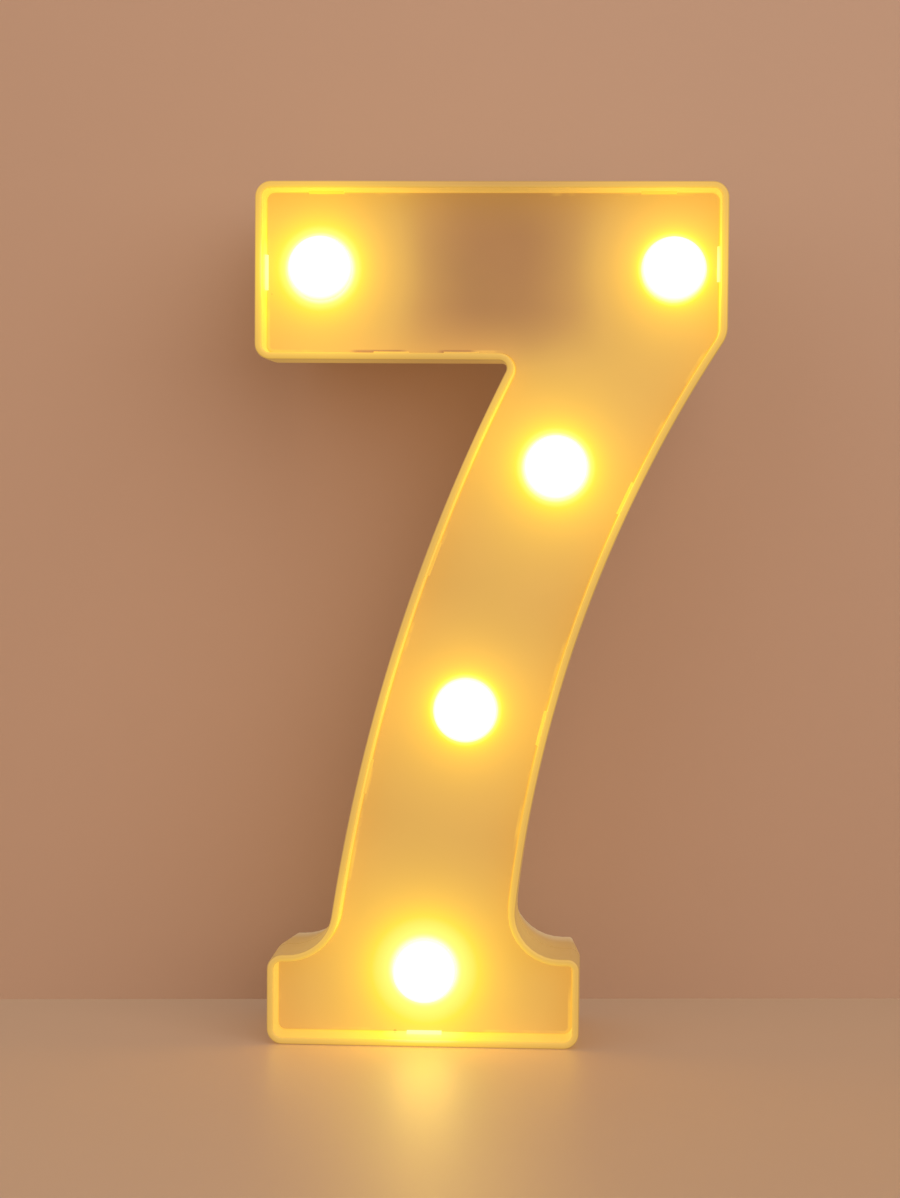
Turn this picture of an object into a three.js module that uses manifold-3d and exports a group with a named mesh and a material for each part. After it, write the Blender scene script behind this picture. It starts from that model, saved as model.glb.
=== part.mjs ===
// A free-standing marquee light in the shape of the figure 7, with five frosted bulb caps.
// Millimetres, +Z up, +X to the right seen from the front, and the front faces -Y.
// The origin is at the middle of the box that the light fills, on the surface that it stands on.
import * as THREE from "three";
import { mergeVertices } from "three/addons/utils/BufferGeometryUtils.js";
import Module from "manifold-3d";

const wasm = await Module();
wasm.setup();

// Figure outline, seen from the front
const FIGURE_HEIGHT = 220;
const ARM_WIDTH = 119.4;
const ARM_HEIGHT = 45;
const FOOT_HEIGHT = 23.2;
const FOOT_REACH_LEFT = 56;
const FOOT_REACH_RIGHT = 24;
const STEM_LEFT_AT_FOOT = 40.8;
const STEM_RIGHT_AT_FOOT = 6.5;
const STEM_LEFT_AT_ARM = 5.5;
const SHOULDER_DROP = 38.6;
const STEM_LEFT_RADIUS = 460;
const STEM_RIGHT_RADIUS = 329.6;
const FOOT_CORNER_RADIUS = 4;
const FOOT_TOP_RADIUS = 3;
const FOOT_FILLET_RADIUS = 11.5;
const ARM_CORNER_RADIUS = 4;
const SHOULDER_RADIUS = 8;
const NOTCH_RADIUS = 2;
const LEAST_CORNER_RADIUS = 0.3;

// Casing, front to back
const CASE_DEPTH = 45;
const BACK_DRAFT = 2.1;
const FRONT_FRAME_DEPTH = 16;
const CASE_WALL = 1.8;
const BACK_WALL = 2;
const RIM_ROUND = 0.8;
const RIM_INNER_CHAMFER = 0.4;
const BACK_EDGE_ROUND = 1.2;
const FACE_RECESS = 9;
const PANEL_THICKNESS = 1.8;
const LEDGE_WIDTH = 3;
const LEDGE_THICKNESS = 1.8;
const LIP_THICKNESS = 1.3;
const LIP_REACH = 3.5;
const FIT_GAP = 0.3;
const CUT_OVERRUN = 1;

// Panel catches along the inside of the rim
const CATCH_LENGTH = 9;
const CATCH_PROUD = 0.7;
const CATCH_RISE = 1.6;
const CATCH_ROOT = 0.5;

// Bulbs
const BULB_FROM_TOP = 21.4;
const BULB_FROM_ARM_LEFT = 15.8;
const BULB_FROM_ARM_RIGHT = 13.4;
const BULB_UPPER_STEM_SHARE = 0.823;
const BULB_LOWER_STEM_SHARE = 0.412;
const BULB_FOOT_Z = 18.1;
const DOME_RADIUS = 8.3;
const DOME_SHOULDER = 0.2;
const DOME_WALL = 1;
const NECK_RADIUS = 5.2;
const NECK_WALL = 1;
const NECK_BEHIND_FACE = 5;
const SNAP_RIB_PROUD = 0.6;
const SNAP_RIB_WIDTH = 0.9;
const HOLDER_AHEAD_OF_PANEL = 0.8;
const HOLDER_FLANGE_RADIUS = 6.2;
const HOLDER_FLANGE_THICKNESS = 1.5;
const HOLDER_WEB = 1.5;
const LED_RADIUS = 2.5;
const LED_FLANGE_PROUD = 0.4;
const LED_FLANGE_THICKNESS = 1;
const LED_BODY_LENGTH = 7.6;
const LEAD_PITCH = 2.54;
const LEAD_THICKNESS = 0.5;

// Case screws and the bosses that they join
const BOSS_RADIUS = 3.2;
const BOSS_END_PAST_SPLIT = 5.5;
const BOSS_BLIND_FLOOR = 1;
const TUBE_RADIUS = 4.2;
const TUBE_SEAT = 2;
const TUBE_WALL_MERGE = 1.6;
const FOOT_SCREW_Z = 5.6;
const SCREW_SHANK_RADIUS = 1.25;
const SCREW_HEAD_RADIUS = 2.6;
const SCREW_HEAD_HEIGHT = 1.8;
const SCREW_POINT_LENGTH = 1.6;
const SCREW_RECESS_WIDTH = 0.8;
const SCREW_RECESS_DEPTH = 1;
const STEM_SCREW_SHARE = 0.627;

// Cells and their bay
const CELL_RADIUS = 7.25;
const CELL_LENGTH = 50.5;
const CELL_NUB_RADIUS = 2.75;
const CELL_NUB_LENGTH = 1.2;
const CELL_EDGE_CHAMFER = 0.6;
const CELL_SPACING = 15.2;
const BAY_CENTRE_X = 1;
const BAY_BELOW_TOP = 22.5;
const BAY_WALL = 2.4;
const BAY_FLOOR = 1.6;
const BAY_SIDE_ROOM = 0.45;
const DOOR_SEAT = 1.2;
const CELL_UNDER_DOOR = 0.5;
const CONTACT_THICKNESS = 0.5;
const CONTACT_WIDTH = 11;
const CONTACT_FOOT = 6.2;
const CONTACT_TOP_ROOM = 1;
const CONTACT_TAB_WIDTH = 3;
const SPRING_LENGTH = 5.4;
const SPRING_WIRE = 0.7;
const SPRING_BASE_RADIUS = 4.1;
const SPRING_TIP_RADIUS = 2.2;
const SPRING_TURNS = 3.5;

// Battery door
const DOOR_TAB_WIDTH = 7;
const DOOR_TAB_SPREAD = 36;
const DOOR_TAB_REACH = 1.8;
const DOOR_TAB_THICKNESS = 1.6;
const DOOR_TAB_LEG = 1.5;
const LATCH_WIDTH = 12;
const LATCH_DEPTH = 3;
const LATCH_LEAF = 0.9;
const LATCH_OPENING = 1;
const LATCH_NOSE = 0.3;
const LATCH_SLOT = 0.6;
const FINGER_NOTCH_RADIUS = 4;
const FINGER_NOTCH_DEPTH = 1.2;
const GRIP_RIB_COUNT = 4;
const GRIP_RIB_WIDTH = 0.8;
const GRIP_RIB_LENGTH = 14;
const GRIP_RIB_PITCH = 1.9;
const GRIP_RIB_DEPTH = 0.5;
const GRIP_FROM_EDGE = 6;

// Keyholes for hanging
const KEYHOLE_SPREAD = 84;
const KEYHOLE_BELOW_TOP = 15;
const KEYHOLE_ENTRY_RADIUS = 4;
const KEYHOLE_SLOT_RADIUS = 2;
const KEYHOLE_SLOT_LENGTH = 6.5;

// Slide switch
const SWITCH_BELOW_ARM = 12;
const SWITCH_RECESS_LENGTH = 16;
const SWITCH_RECESS_HEIGHT = 8.6;
const SWITCH_RECESS_DEPTH = 2.4;
const SWITCH_FLOOR = 1.8;
const SWITCH_RIM = 1.6;
const SWITCH_END_RIM = 4.2;
const SWITCH_TRAVEL = 4;
const KNOB_LENGTH = 4;
const KNOB_HEIGHT = 3;
const KNOB_BELOW_BACK = 0.3;
const KNOB_GROOVE_WIDTH = 0.5;
const KNOB_GROOVE_DEPTH = 0.5;
const SHOE_LENGTH = 6.6;
const SHOE_HEIGHT = 4.6;
const SHOE_THICKNESS = 1.4;
const SWITCH_METAL = 0.6;
const SWITCH_CASE_LENGTH = 13;
const SWITCH_CASE_HEIGHT = 7;
const SWITCH_CASE_DEPTH = 5;
const SWITCH_EAR_REACH = 12;
const SWITCH_SCREW_REACH = 10;
const SWITCH_BASE_THICKNESS = 1.2;
const SWITCH_PIN_PITCH = 3;
const SWITCH_PIN_LENGTH = 3.2;
const SWITCH_PIN_THICKNESS = 0.6;
const SWITCH_SCREW_RADIUS = 0.8;
const SWITCH_SCREW_HEAD_RADIUS = 1.6;
const SWITCH_SCREW_HEAD_HEIGHT = 1;
const SWITCH_SCREW_LENGTH = 3.2;

// Wires
const WIRE_RADIUS = 0.6;
const LEAD_WIRE_SHARE = 0.709;
const WIRE_BEFORE_BAY = 3;
const WIRE_RISE = 10;
const WIRE_STEP = 2.6;
const WIRE_BOW = 3;
const WIRE_TAIL = 3;

// Facet counts
const CORNER_STEPS = 4;
const STEM_STEPS = 12;
const ROUND_STEPS = 2;
const ROD_SIDES = 16;
const SMALL_ROD_SIDES = 12;
const DOME_SIDES = 16;
const DOME_STEPS = 5;
const WIRE_SIDES = 6;
const WIRE_STEPS = 11;
const CURL_STEPS = 8;
const CURL_SIDES = 5;

// Places that follow from the sizes above
const FRONT_Y = -CASE_DEPTH / 2;
const BACK_Y = CASE_DEPTH / 2;
const BACK_INNER_Y = BACK_Y - BACK_WALL;
const SPLIT_Y = FRONT_Y + FRONT_FRAME_DEPTH;
const FACE_Y = FRONT_Y + FACE_RECESS;
const PANEL_BACK_Y = FACE_Y + PANEL_THICKNESS;
const LEDGE_Y = PANEL_BACK_Y + FIT_GAP;
const LEDGE_BACK_Y = LEDGE_Y + LEDGE_THICKNESS;
const BOSS_END_Y = SPLIT_Y + BOSS_END_PAST_SPLIT;
const DRAFT_START_Y = SPLIT_Y + LIP_REACH + FIT_GAP;
const ARM_HALF = ARM_WIDTH / 2;
const ARM_UNDERSIDE = FIGURE_HEIGHT - ARM_HEIGHT;
const SHOULDER_Z = FIGURE_HEIGHT - SHOULDER_DROP;
const SWITCH_Z = ARM_UNDERSIDE - SWITCH_BELOW_ARM;

// Solids: joining and cutting

function toSolid(geometry) {
  const bare = geometry.clone();
  for (const name of ["normal", "uv"]) bare.deleteAttribute(name);
  const merged = mergeVertices(bare);
  const mesh = new wasm.Mesh({
    numProp: 3,
    vertProperties: new Float32Array(merged.attributes.position.array),
    triVerts: new Uint32Array(merged.index.array),
  });
  return new wasm.Manifold(mesh);
}

function toGeometry(solid) {
  const mesh = solid.getMesh();
  const points = new Float32Array(mesh.numVert * 3);
  for (let i = 0; i < mesh.numVert; i += 1) {
    points.set(mesh.vertProperties.subarray(i * mesh.numProp, i * mesh.numProp + 3), i * 3);
  }
  return new THREE.BufferGeometry()
    .setAttribute("position", new THREE.BufferAttribute(points, 3))
    .setIndex(new THREE.BufferAttribute(mesh.triVerts, 1));
}

function shape(start, { add = [], cut = [] }) {
  const joined = add.reduce((whole, piece) => whole.add(toSolid(piece)), toSolid(start));
  return toGeometry(cut.reduce((whole, piece) => whole.subtract(toSolid(piece)), joined));
}

// A geometry from points and triangles, turned so that its faces point outwards.
function closedGeometry(points, triangles) {
  let sixVolumes = 0;
  const corner = triangles.map((index) => new THREE.Vector3(...points[index]));
  for (let i = 0; i < corner.length; i += 3) {
    sixVolumes += corner[i].dot(corner[i + 1].clone().cross(corner[i + 2]));
  }
  const index = sixVolumes < 0 ? [...triangles].reverse() : triangles;
  return new THREE.BufferGeometry()
    .setAttribute("position", new THREE.Float32BufferAttribute(points.flat(), 3))
    .setIndex(index);
}

// A box between two limits on each axis.
function block([x0, x1], [y0, y1], [z0, z1]) {
  const box = new THREE.BoxGeometry(x1 - x0, y1 - y0, z1 - z0);
  return box.translate((x0 + x1) / 2, (y0 + y1) / 2, (z0 + z1) / 2);
}

function about(centre, size) {
  return [centre - size / 2, centre + size / 2];
}

// A round rod along Y.
function rod(radius, y0, y1, [x, z], sides = ROD_SIDES) {
  const cylinder = new THREE.CylinderGeometry(radius, radius, y1 - y0, sides);
  return cylinder.translate(x, (y0 + y1) / 2, z);
}

// A turned piece about a line along Y, from [radius, y] pairs.
function turned(profile, [x, z], sides = ROD_SIDES) {
  const geometry = new THREE.LatheGeometry(
    profile.map(([radius, y]) => new THREE.Vector2(radius, y)),
    sides,
  );
  const merged = mergeVertices(bareOf(geometry));
  const points = [];
  const place = merged.attributes.position;
  for (let i = 0; i < place.count; i += 1) {
    points.push([place.getX(i) + x, place.getY(i), place.getZ(i) + z]);
  }
  const triangles = [];
  const index = merged.index.array;
  for (let i = 0; i < index.length; i += 3) {
    const [a, b, c] = [index[i], index[i + 1], index[i + 2]];
    if (a !== b && b !== c && c !== a) triangles.push(a, b, c);
  }
  return closedGeometry(points, triangles);
}

function bareOf(geometry) {
  for (const name of ["normal", "uv"]) geometry.deleteAttribute(name);
  return geometry;
}

// Points along an arc, from one angle to another.
function arcPoints(centre, radius, fromAngle, toAngle, steps) {
  const points = [];
  for (let i = 0; i <= steps; i += 1) {
    const angle = fromAngle + ((toAngle - fromAngle) * i) / steps;
    points.push([centre[0] + radius * Math.cos(angle), centre[1] + radius * Math.sin(angle)]);
  }
  return points;
}

// The outline: straight and round edges, anticlockwise from the front, inside on the left

function line(start, direction) {
  return { kind: "line", start, direction };
}

// A round edge through two points. Its centre lies to the right of the figure.
function arc(from, to, radius, turn) {
  const middle = [(from[0] + to[0]) / 2, (from[1] + to[1]) / 2];
  const chord = [to[0] - from[0], to[1] - from[1]];
  const half = Math.hypot(...chord) / 2;
  const reach = Math.sqrt(radius * radius - half * half) / (2 * half);
  const side = chord[1] > 0 ? 1 : -1;
  const centre = [middle[0] + side * chord[1] * reach, middle[1] - side * chord[0] * reach];
  return { kind: "arc", centre, radius, turn, from, to };
}

const RIGHT = [1, 0];
const UP = [0, 1];
const LEFT = [-1, 0];
const DOWN = [0, -1];

const footRightTop = [FOOT_REACH_RIGHT, FOOT_HEIGHT];
const footLeftTop = [-FOOT_REACH_LEFT, FOOT_HEIGHT];
const stemRightFoot = [STEM_RIGHT_AT_FOOT, FOOT_HEIGHT];
const stemLeftFoot = [-STEM_LEFT_AT_FOOT, FOOT_HEIGHT];
const shoulder = [ARM_HALF, SHOULDER_Z];
const notch = [STEM_LEFT_AT_ARM, ARM_UNDERSIDE];

const rightStemEdge = arc(stemRightFoot, shoulder, STEM_RIGHT_RADIUS, -1);
const leftStemEdge = arc(notch, stemLeftFoot, STEM_LEFT_RADIUS, 1);

// Each edge with the corner at its end: where it lies, its radius and which way it bends.
const EDGES = [
  { edge: line([0, 0], RIGHT), corner: [FOOT_REACH_RIGHT, 0], radius: FOOT_CORNER_RADIUS, bend: 1 },
  { edge: line([FOOT_REACH_RIGHT, 0], UP), corner: footRightTop, radius: FOOT_TOP_RADIUS, bend: 1 },
  { edge: line(footRightTop, LEFT), corner: stemRightFoot, radius: FOOT_FILLET_RADIUS, bend: -1 },
  { edge: rightStemEdge, corner: shoulder, radius: SHOULDER_RADIUS, bend: 1 },
  { edge: line(shoulder, UP), corner: [ARM_HALF, FIGURE_HEIGHT], radius: ARM_CORNER_RADIUS, bend: 1 },
  {
    edge: line([ARM_HALF, FIGURE_HEIGHT], LEFT),
    corner: [-ARM_HALF, FIGURE_HEIGHT],
    radius: ARM_CORNER_RADIUS,
    bend: 1,
  },
  {
    edge: line([-ARM_HALF, FIGURE_HEIGHT], DOWN),
    corner: [-ARM_HALF, ARM_UNDERSIDE],
    radius: ARM_CORNER_RADIUS,
    bend: 1,
  },
  { edge: line([-ARM_HALF, ARM_UNDERSIDE], RIGHT), corner: notch, radius: NOTCH_RADIUS, bend: -1 },
  { edge: leftStemEdge, corner: stemLeftFoot, radius: FOOT_FILLET_RADIUS, bend: -1 },
  { edge: line(stemLeftFoot, LEFT), corner: footLeftTop, radius: FOOT_CORNER_RADIUS, bend: 1 },
  { edge: line(footLeftTop, DOWN), corner: [-FOOT_REACH_LEFT, 0], radius: FOOT_CORNER_RADIUS, bend: 1 },
];
const [FOOT_UNDERSIDE, , , STEM_RIGHT, ARM_RIGHT, ARM_TOP, ARM_LEFT, ARM_UNDER, STEM_LEFT] = EDGES.keys();

// An edge moved inwards by an inset, as a line or a circle.
function insetEdge({ kind, start, direction, centre, radius, turn }, inset) {
  if (kind === "line") {
    const inward = [-direction[1], direction[0]];
    return { kind, direction, start: [start[0] + inward[0] * inset, start[1] + inward[1] * inset] };
  }
  return { kind, centre, radius: radius - turn * inset };
}

function crossing(a, b, nearTo) {
  const found = a.kind === "line" && b.kind === "line" ? lineLine(a, b) : lineCircle(a, b);
  const distance = (p) => Math.hypot(p[0] - nearTo[0], p[1] - nearTo[1]);
  return found.sort((p, q) => distance(p) - distance(q))[0];
}

function lineLine(a, b) {
  const across = a.direction[0] * b.direction[1] - a.direction[1] * b.direction[0];
  const offset = [b.start[0] - a.start[0], b.start[1] - a.start[1]];
  const along = (offset[0] * b.direction[1] - offset[1] * b.direction[0]) / across;
  return [[a.start[0] + a.direction[0] * along, a.start[1] + a.direction[1] * along]];
}

function lineCircle(a, b) {
  const [straight, round] = a.kind === "line" ? [a, b] : [b, a];
  const [dx, dz] = straight.direction;
  const offset = [straight.start[0] - round.centre[0], straight.start[1] - round.centre[1]];
  const toFoot = -(offset[0] * dx + offset[1] * dz);
  const away = Math.hypot(offset[0] + dx * toFoot, offset[1] + dz * toFoot);
  const half = Math.sqrt(round.radius ** 2 - away ** 2);
  return [toFoot - half, toFoot + half].map((along) => [
    straight.start[0] + dx * along,
    straight.start[1] + dz * along,
  ]);
}

// The point of an inset edge that is nearest to a place.
function footOn(edge, place) {
  if (edge.kind === "line") {
    const along =
      (place[0] - edge.start[0]) * edge.direction[0] + (place[1] - edge.start[1]) * edge.direction[1];
    return [edge.start[0] + edge.direction[0] * along, edge.start[1] + edge.direction[1] * along];
  }
  const out = [place[0] - edge.centre[0], place[1] - edge.centre[1]];
  const share = edge.radius / Math.hypot(...out);
  return [edge.centre[0] + out[0] * share, edge.centre[1] + out[1] * share];
}

// How far the draft moves an edge inwards. The foot's underside stays level, to stand on.
function draftOf(index, draft) {
  return index === FOOT_UNDERSIDE ? 0 : draft;
}

// The rounded corner at the end of an edge: its centre, and where it meets both edges.
function cornerAt(index, inset, draft = 0) {
  const { edge, corner, radius, bend } = EDGES[index];
  const nextIndex = (index + 1) % EDGES.length;
  const next = EDGES[nextIndex].edge;
  const edgeInset = inset + draftOf(index, draft);
  const nextInset = inset + draftOf(nextIndex, draft);
  const bendRadius = Math.max(radius - bend * (inset + draft), LEAST_CORNER_RADIUS);
  const toCentre = bend * bendRadius;
  const edgeOfCentres = insetEdge(edge, edgeInset + toCentre);
  const centre = crossing(edgeOfCentres, insetEdge(next, nextInset + toCentre), corner);
  return {
    centre,
    start: footOn(insetEdge(edge, edgeInset), centre),
    end: footOn(insetEdge(next, nextInset), centre),
  };
}

function sweptPoints(centre, from, to, steps) {
  const radius = Math.hypot(from[0] - centre[0], from[1] - centre[1]);
  const first = Math.atan2(from[1] - centre[1], from[0] - centre[0]);
  const last = Math.atan2(to[1] - centre[1], to[0] - centre[0]);
  const swing = Math.atan2(Math.sin(last - first), Math.cos(last - first));
  return arcPoints(centre, radius, first, first + swing, steps);
}

// The outline at an inset and a draft, always with the same number of points.
function outlineAt(inset, draft) {
  return EDGES.flatMap(({ edge }, index) => {
    const before = cornerAt((index + EDGES.length - 1) % EDGES.length, inset, draft);
    const corner = cornerAt(index, inset, draft);
    const bend = sweptPoints(corner.centre, corner.start, corner.end, CORNER_STEPS);
    if (edge.kind === "line") return bend;
    const stretch = sweptPoints(edge.centre, before.end, corner.start, STEM_STEPS);
    return [...stretch.slice(1, -1), ...bend];
  });
}

// A place and direction along an edge, at a share of its length.
function alongEdge(index, share, inset) {
  const { edge } = EDGES[index];
  const from = cornerAt((index + EDGES.length - 1) % EDGES.length, inset).end;
  const to = cornerAt(index, inset).start;
  if (edge.kind === "line") {
    const place = [from[0] + (to[0] - from[0]) * share, from[1] + (to[1] - from[1]) * share];
    return { place, direction: edge.direction };
  }
  const place = footOn(insetEdge(edge, inset), [
    from[0] + (to[0] - from[0]) * share,
    from[1] + (to[1] - from[1]) * share,
  ]);
  const out = [(place[0] - edge.centre[0]) * edge.turn, (place[1] - edge.centre[1]) * edge.turn];
  const length = Math.hypot(...out);
  return { place, direction: [-out[1] / length, out[0] / length] };
}

// A skin through outlines at [inset, y, draft] levels, where the draft may be left out. A closed
// section runs round like a tyre, and an open one is capped at its first and last level.
function skin(levels, closedSection) {
  const rings = levels.map(([inset, y, draft]) =>
    outlineAt(inset, draft).map(([x, z]) => [x, y, z]),
  );
  const count = rings[0].length;
  const triangles = [];
  const last = closedSection ? rings.length : rings.length - 1;
  for (let k = 0; k < last; k += 1) {
    const next = (k + 1) % rings.length;
    for (let j = 0; j < count; j += 1) {
      const [a, b] = [k * count + j, k * count + ((j + 1) % count)];
      const [c, d] = [next * count + ((j + 1) % count), next * count + j];
      triangles.push(a, b, c, a, c, d);
    }
  }
  if (!closedSection) {
    const cap = (ring) =>
      THREE.ShapeUtils.triangulateShape(
        ring.map(([x, , z]) => new THREE.Vector2(x, z)),
        [],
      );
    const end = (rings.length - 1) * count;
    for (const [a, b, c] of cap(rings[0])) triangles.push(c, b, a);
    for (const [a, b, c] of cap(rings.at(-1))) triangles.push(end + a, end + b, end + c);
  }
  return closedGeometry(rings.flat(), triangles);
}

// A height on the stem, from the foot's top at 0 to the arm's underside at 1.
function stemHeight(share) {
  return FOOT_HEIGHT + (ARM_UNDERSIDE - FOOT_HEIGHT) * share;
}

// The x of the middle of the stem at a height.
function stemMiddle(z) {
  const level = { kind: "line", start: [0, z], direction: RIGHT };
  const [leftX] = crossing(level, leftStemEdge, [0, z]);
  const [rightX] = crossing(level, rightStemEdge, [0, z]);
  return (leftX + rightX) / 2;
}

// Places of the bulbs, screws and keyholes, as [x, z]

const armBulbZ = FIGURE_HEIGHT - BULB_FROM_TOP;
const upperStemZ = stemHeight(BULB_UPPER_STEM_SHARE);
const lowerStemZ = stemHeight(BULB_LOWER_STEM_SHARE);
const stemScrewZ = stemHeight(STEM_SCREW_SHARE);
const BULBS = [
  [-ARM_HALF + BULB_FROM_ARM_LEFT, armBulbZ],
  [ARM_HALF - BULB_FROM_ARM_RIGHT, armBulbZ],
  [stemMiddle(upperStemZ), upperStemZ],
  [stemMiddle(lowerStemZ), lowerStemZ],
  [(FOOT_REACH_RIGHT - FOOT_REACH_LEFT) / 2, BULB_FOOT_Z],
];

const SCREW_INSET = CASE_WALL + BACK_DRAFT + TUBE_RADIUS - TUBE_WALL_MERGE;
const stemScrewEdge = insetEdge(leftStemEdge, SCREW_INSET);
const stemScrewLevel = { kind: "line", start: [0, stemScrewZ], direction: RIGHT };
const CASE_SCREWS = [
  [-ARM_HALF + SCREW_INSET, FIGURE_HEIGHT - SCREW_INSET],
  [ARM_HALF - SCREW_INSET, FIGURE_HEIGHT - SCREW_INSET],
  [-ARM_HALF + SCREW_INSET, ARM_UNDERSIDE + SCREW_INSET],
  crossing(stemScrewLevel, stemScrewEdge, [0, stemScrewZ]),
  [-FOOT_REACH_LEFT + SCREW_INSET, FOOT_SCREW_Z],
  [FOOT_REACH_RIGHT - SCREW_INSET, FOOT_SCREW_Z],
];

const KEYHOLES = [-1, 1].map((side) => [(side * KEYHOLE_SPREAD) / 2, FIGURE_HEIGHT - KEYHOLE_BELOW_TOP]);

// Battery bay: limits that the shell, door, cells and contacts share

const bayZ = FIGURE_HEIGHT - BAY_BELOW_TOP;
const bayLength = CELL_LENGTH + SPRING_LENGTH + 2 * CONTACT_THICKNESS + 5 * FIT_GAP;
const bayHeight = CELL_SPACING + 2 * (CELL_RADIUS + BAY_SIDE_ROOM);
const bayX = about(BAY_CENTRE_X, bayLength);
const bayZs = about(bayZ, bayHeight);
const cellY = BACK_INNER_Y - CELL_UNDER_DOOR - CELL_RADIUS;
const bayFloorY = cellY - CELL_RADIUS - FIT_GAP;
const bayFrontY = bayFloorY - BAY_FLOOR;
const troughRadius = CELL_RADIUS + FIT_GAP;
const doorX = [bayX[0] - DOOR_SEAT, bayX[1] + DOOR_SEAT];
const doorZ = [bayZs[0] - DOOR_SEAT, bayZs[1] + DOOR_SEAT];
const contactY = [cellY - CONTACT_FOOT, BACK_INNER_Y - FIT_GAP - CONTACT_TOP_ROOM];
const contactSlotHalf = (CELL_SPACING + CONTACT_WIDTH) / 2 + FIT_GAP;
const leftContactX = [bayX[0] + FIT_GAP, bayX[0] + FIT_GAP + CONTACT_THICKNESS];
const rightContactX = [bayX[1] - FIT_GAP - CONTACT_THICKNESS, bayX[1] - FIT_GAP];
const upperCellZ = bayZ + CELL_SPACING / 2;
const lowerCellZ = bayZ - CELL_SPACING / 2;
const tabXs = [-1, 1].map((side) => BAY_CENTRE_X + (side * DOOR_TAB_SPREAD) / 2);
const tabUnderY = BACK_INNER_Y - FIT_GAP;

// Slide switch: limits that the shell, frame, knob and pins share

const switchX = stemMiddle(SWITCH_Z);
const switchRecessY = BACK_Y - SWITCH_RECESS_DEPTH;
const switchFloorY = switchRecessY - SWITCH_FLOOR;
const switchPlateY = [switchFloorY - FIT_GAP - SWITCH_METAL, switchFloorY - FIT_GAP];
const switchCaseY = [switchPlateY[0] - SWITCH_CASE_DEPTH, switchPlateY[0]];
const windowX = about(switchX, KNOB_LENGTH + SWITCH_TRAVEL + 2 * FIT_GAP);
const windowZ = about(SWITCH_Z, KNOB_HEIGHT + 2 * FIT_GAP);
const switchScrewXs = [-1, 1].map((side) => switchX + side * SWITCH_SCREW_REACH);
const switchRecessHalf = SWITCH_RECESS_LENGTH / 2 + SWITCH_END_RIM;

// Casing

// A wedge on the inside of the rim that keeps the panel from coming forward.
function panelCatch({ edge, share }) {
  const { place, direction } = alongEdge(edge, share, CASE_WALL);
  const wedge = new THREE.Shape([
    new THREE.Vector2(-CATCH_ROOT, 0),
    new THREE.Vector2(CATCH_PROUD, 0),
    new THREE.Vector2(0, CATCH_RISE),
    new THREE.Vector2(-CATCH_ROOT, CATCH_RISE),
  ]);
  const prism = new THREE.ExtrudeGeometry(wedge, { depth: CATCH_LENGTH, bevelEnabled: false });
  prism.translate(0, 0, -CATCH_LENGTH / 2);
  const inward = new THREE.Vector3(-direction[1], 0, direction[0]);
  const towardsFront = new THREE.Vector3(0, -1, 0);
  const along = new THREE.Vector3().crossVectors(inward, towardsFront);
  const turn = new THREE.Matrix4().makeBasis(inward, towardsFront, along);
  turn.setPosition(place[0], FACE_Y - FIT_GAP, place[1]);
  return prism.applyMatrix4(turn);
}

const PANEL_CATCH_SHARES = [
  { edge: ARM_TOP, share: 0.12 },
  { edge: ARM_TOP, share: 0.88 },
  { edge: ARM_LEFT, share: 0.5 },
  { edge: ARM_RIGHT, share: 0.5 },
  { edge: ARM_UNDER, share: 0.52 },
  { edge: ARM_UNDER, share: 0.83 },
  { edge: STEM_RIGHT, share: 0.3 },
  { edge: STEM_RIGHT, share: 0.7 },
  { edge: STEM_LEFT, share: 0.35 },
  { edge: STEM_LEFT, share: 0.75 },
  { edge: FOOT_UNDERSIDE, share: 0.5 },
];

function frontFrame() {
  const lipOuter = CASE_WALL + FIT_GAP;
  const lipInner = lipOuter + LIP_THICKNESS;
  const outerRound = arcPoints(
    [RIM_ROUND, FRONT_Y + RIM_ROUND],
    RIM_ROUND,
    Math.PI,
    1.5 * Math.PI,
    ROUND_STEPS,
  );
  const section = [
    [0, SPLIT_Y],
    ...outerRound,
    [CASE_WALL - RIM_INNER_CHAMFER, FRONT_Y],
    [CASE_WALL, FRONT_Y + RIM_INNER_CHAMFER],
    [CASE_WALL, LEDGE_Y],
    [CASE_WALL + LEDGE_WIDTH, LEDGE_Y],
    [CASE_WALL + LEDGE_WIDTH, LEDGE_BACK_Y],
    [lipInner, LEDGE_BACK_Y],
    [lipInner, SPLIT_Y + LIP_REACH],
    [lipOuter, SPLIT_Y + LIP_REACH],
    [lipOuter, SPLIT_Y],
  ];
  const bosses = CASE_SCREWS.map((place) => rod(BOSS_RADIUS, LEDGE_Y, BOSS_END_Y, place));
  const pilots = CASE_SCREWS.map((place) =>
    rod(
      SCREW_SHANK_RADIUS + FIT_GAP,
      LEDGE_Y + BOSS_BLIND_FLOOR,
      BOSS_END_Y + CUT_OVERRUN,
      place,
      SMALL_ROD_SIDES,
    ),
  );
  return shape(skin(section, true), {
    add: [...bosses, ...PANEL_CATCH_SHARES.map(panelCatch)],
    cut: pilots,
  });
}

function facePanel() {
  const inset = CASE_WALL + FIT_GAP;
  const plate = skin(
    [
      [inset, FACE_Y],
      [inset, PANEL_BACK_Y],
    ],
    false,
  );
  const holes = BULBS.map((place) =>
    rod(NECK_RADIUS + FIT_GAP, FACE_Y - CUT_OVERRUN, PANEL_BACK_Y + CUT_OVERRUN, place),
  );
  return shape(plate, { cut: holes });
}

function keyhole([x, z]) {
  const [y0, y1] = [BACK_INNER_Y - CUT_OVERRUN, BACK_Y + CUT_OVERRUN];
  const top = z + KEYHOLE_SLOT_LENGTH;
  return [
    rod(KEYHOLE_ENTRY_RADIUS, y0, y1, [x, z]),
    rod(KEYHOLE_SLOT_RADIUS, y0, y1, [x, top], SMALL_ROD_SIDES),
    block(about(x, 2 * KEYHOLE_SLOT_RADIUS), [y0, y1], [z, top]),
  ];
}

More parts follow.
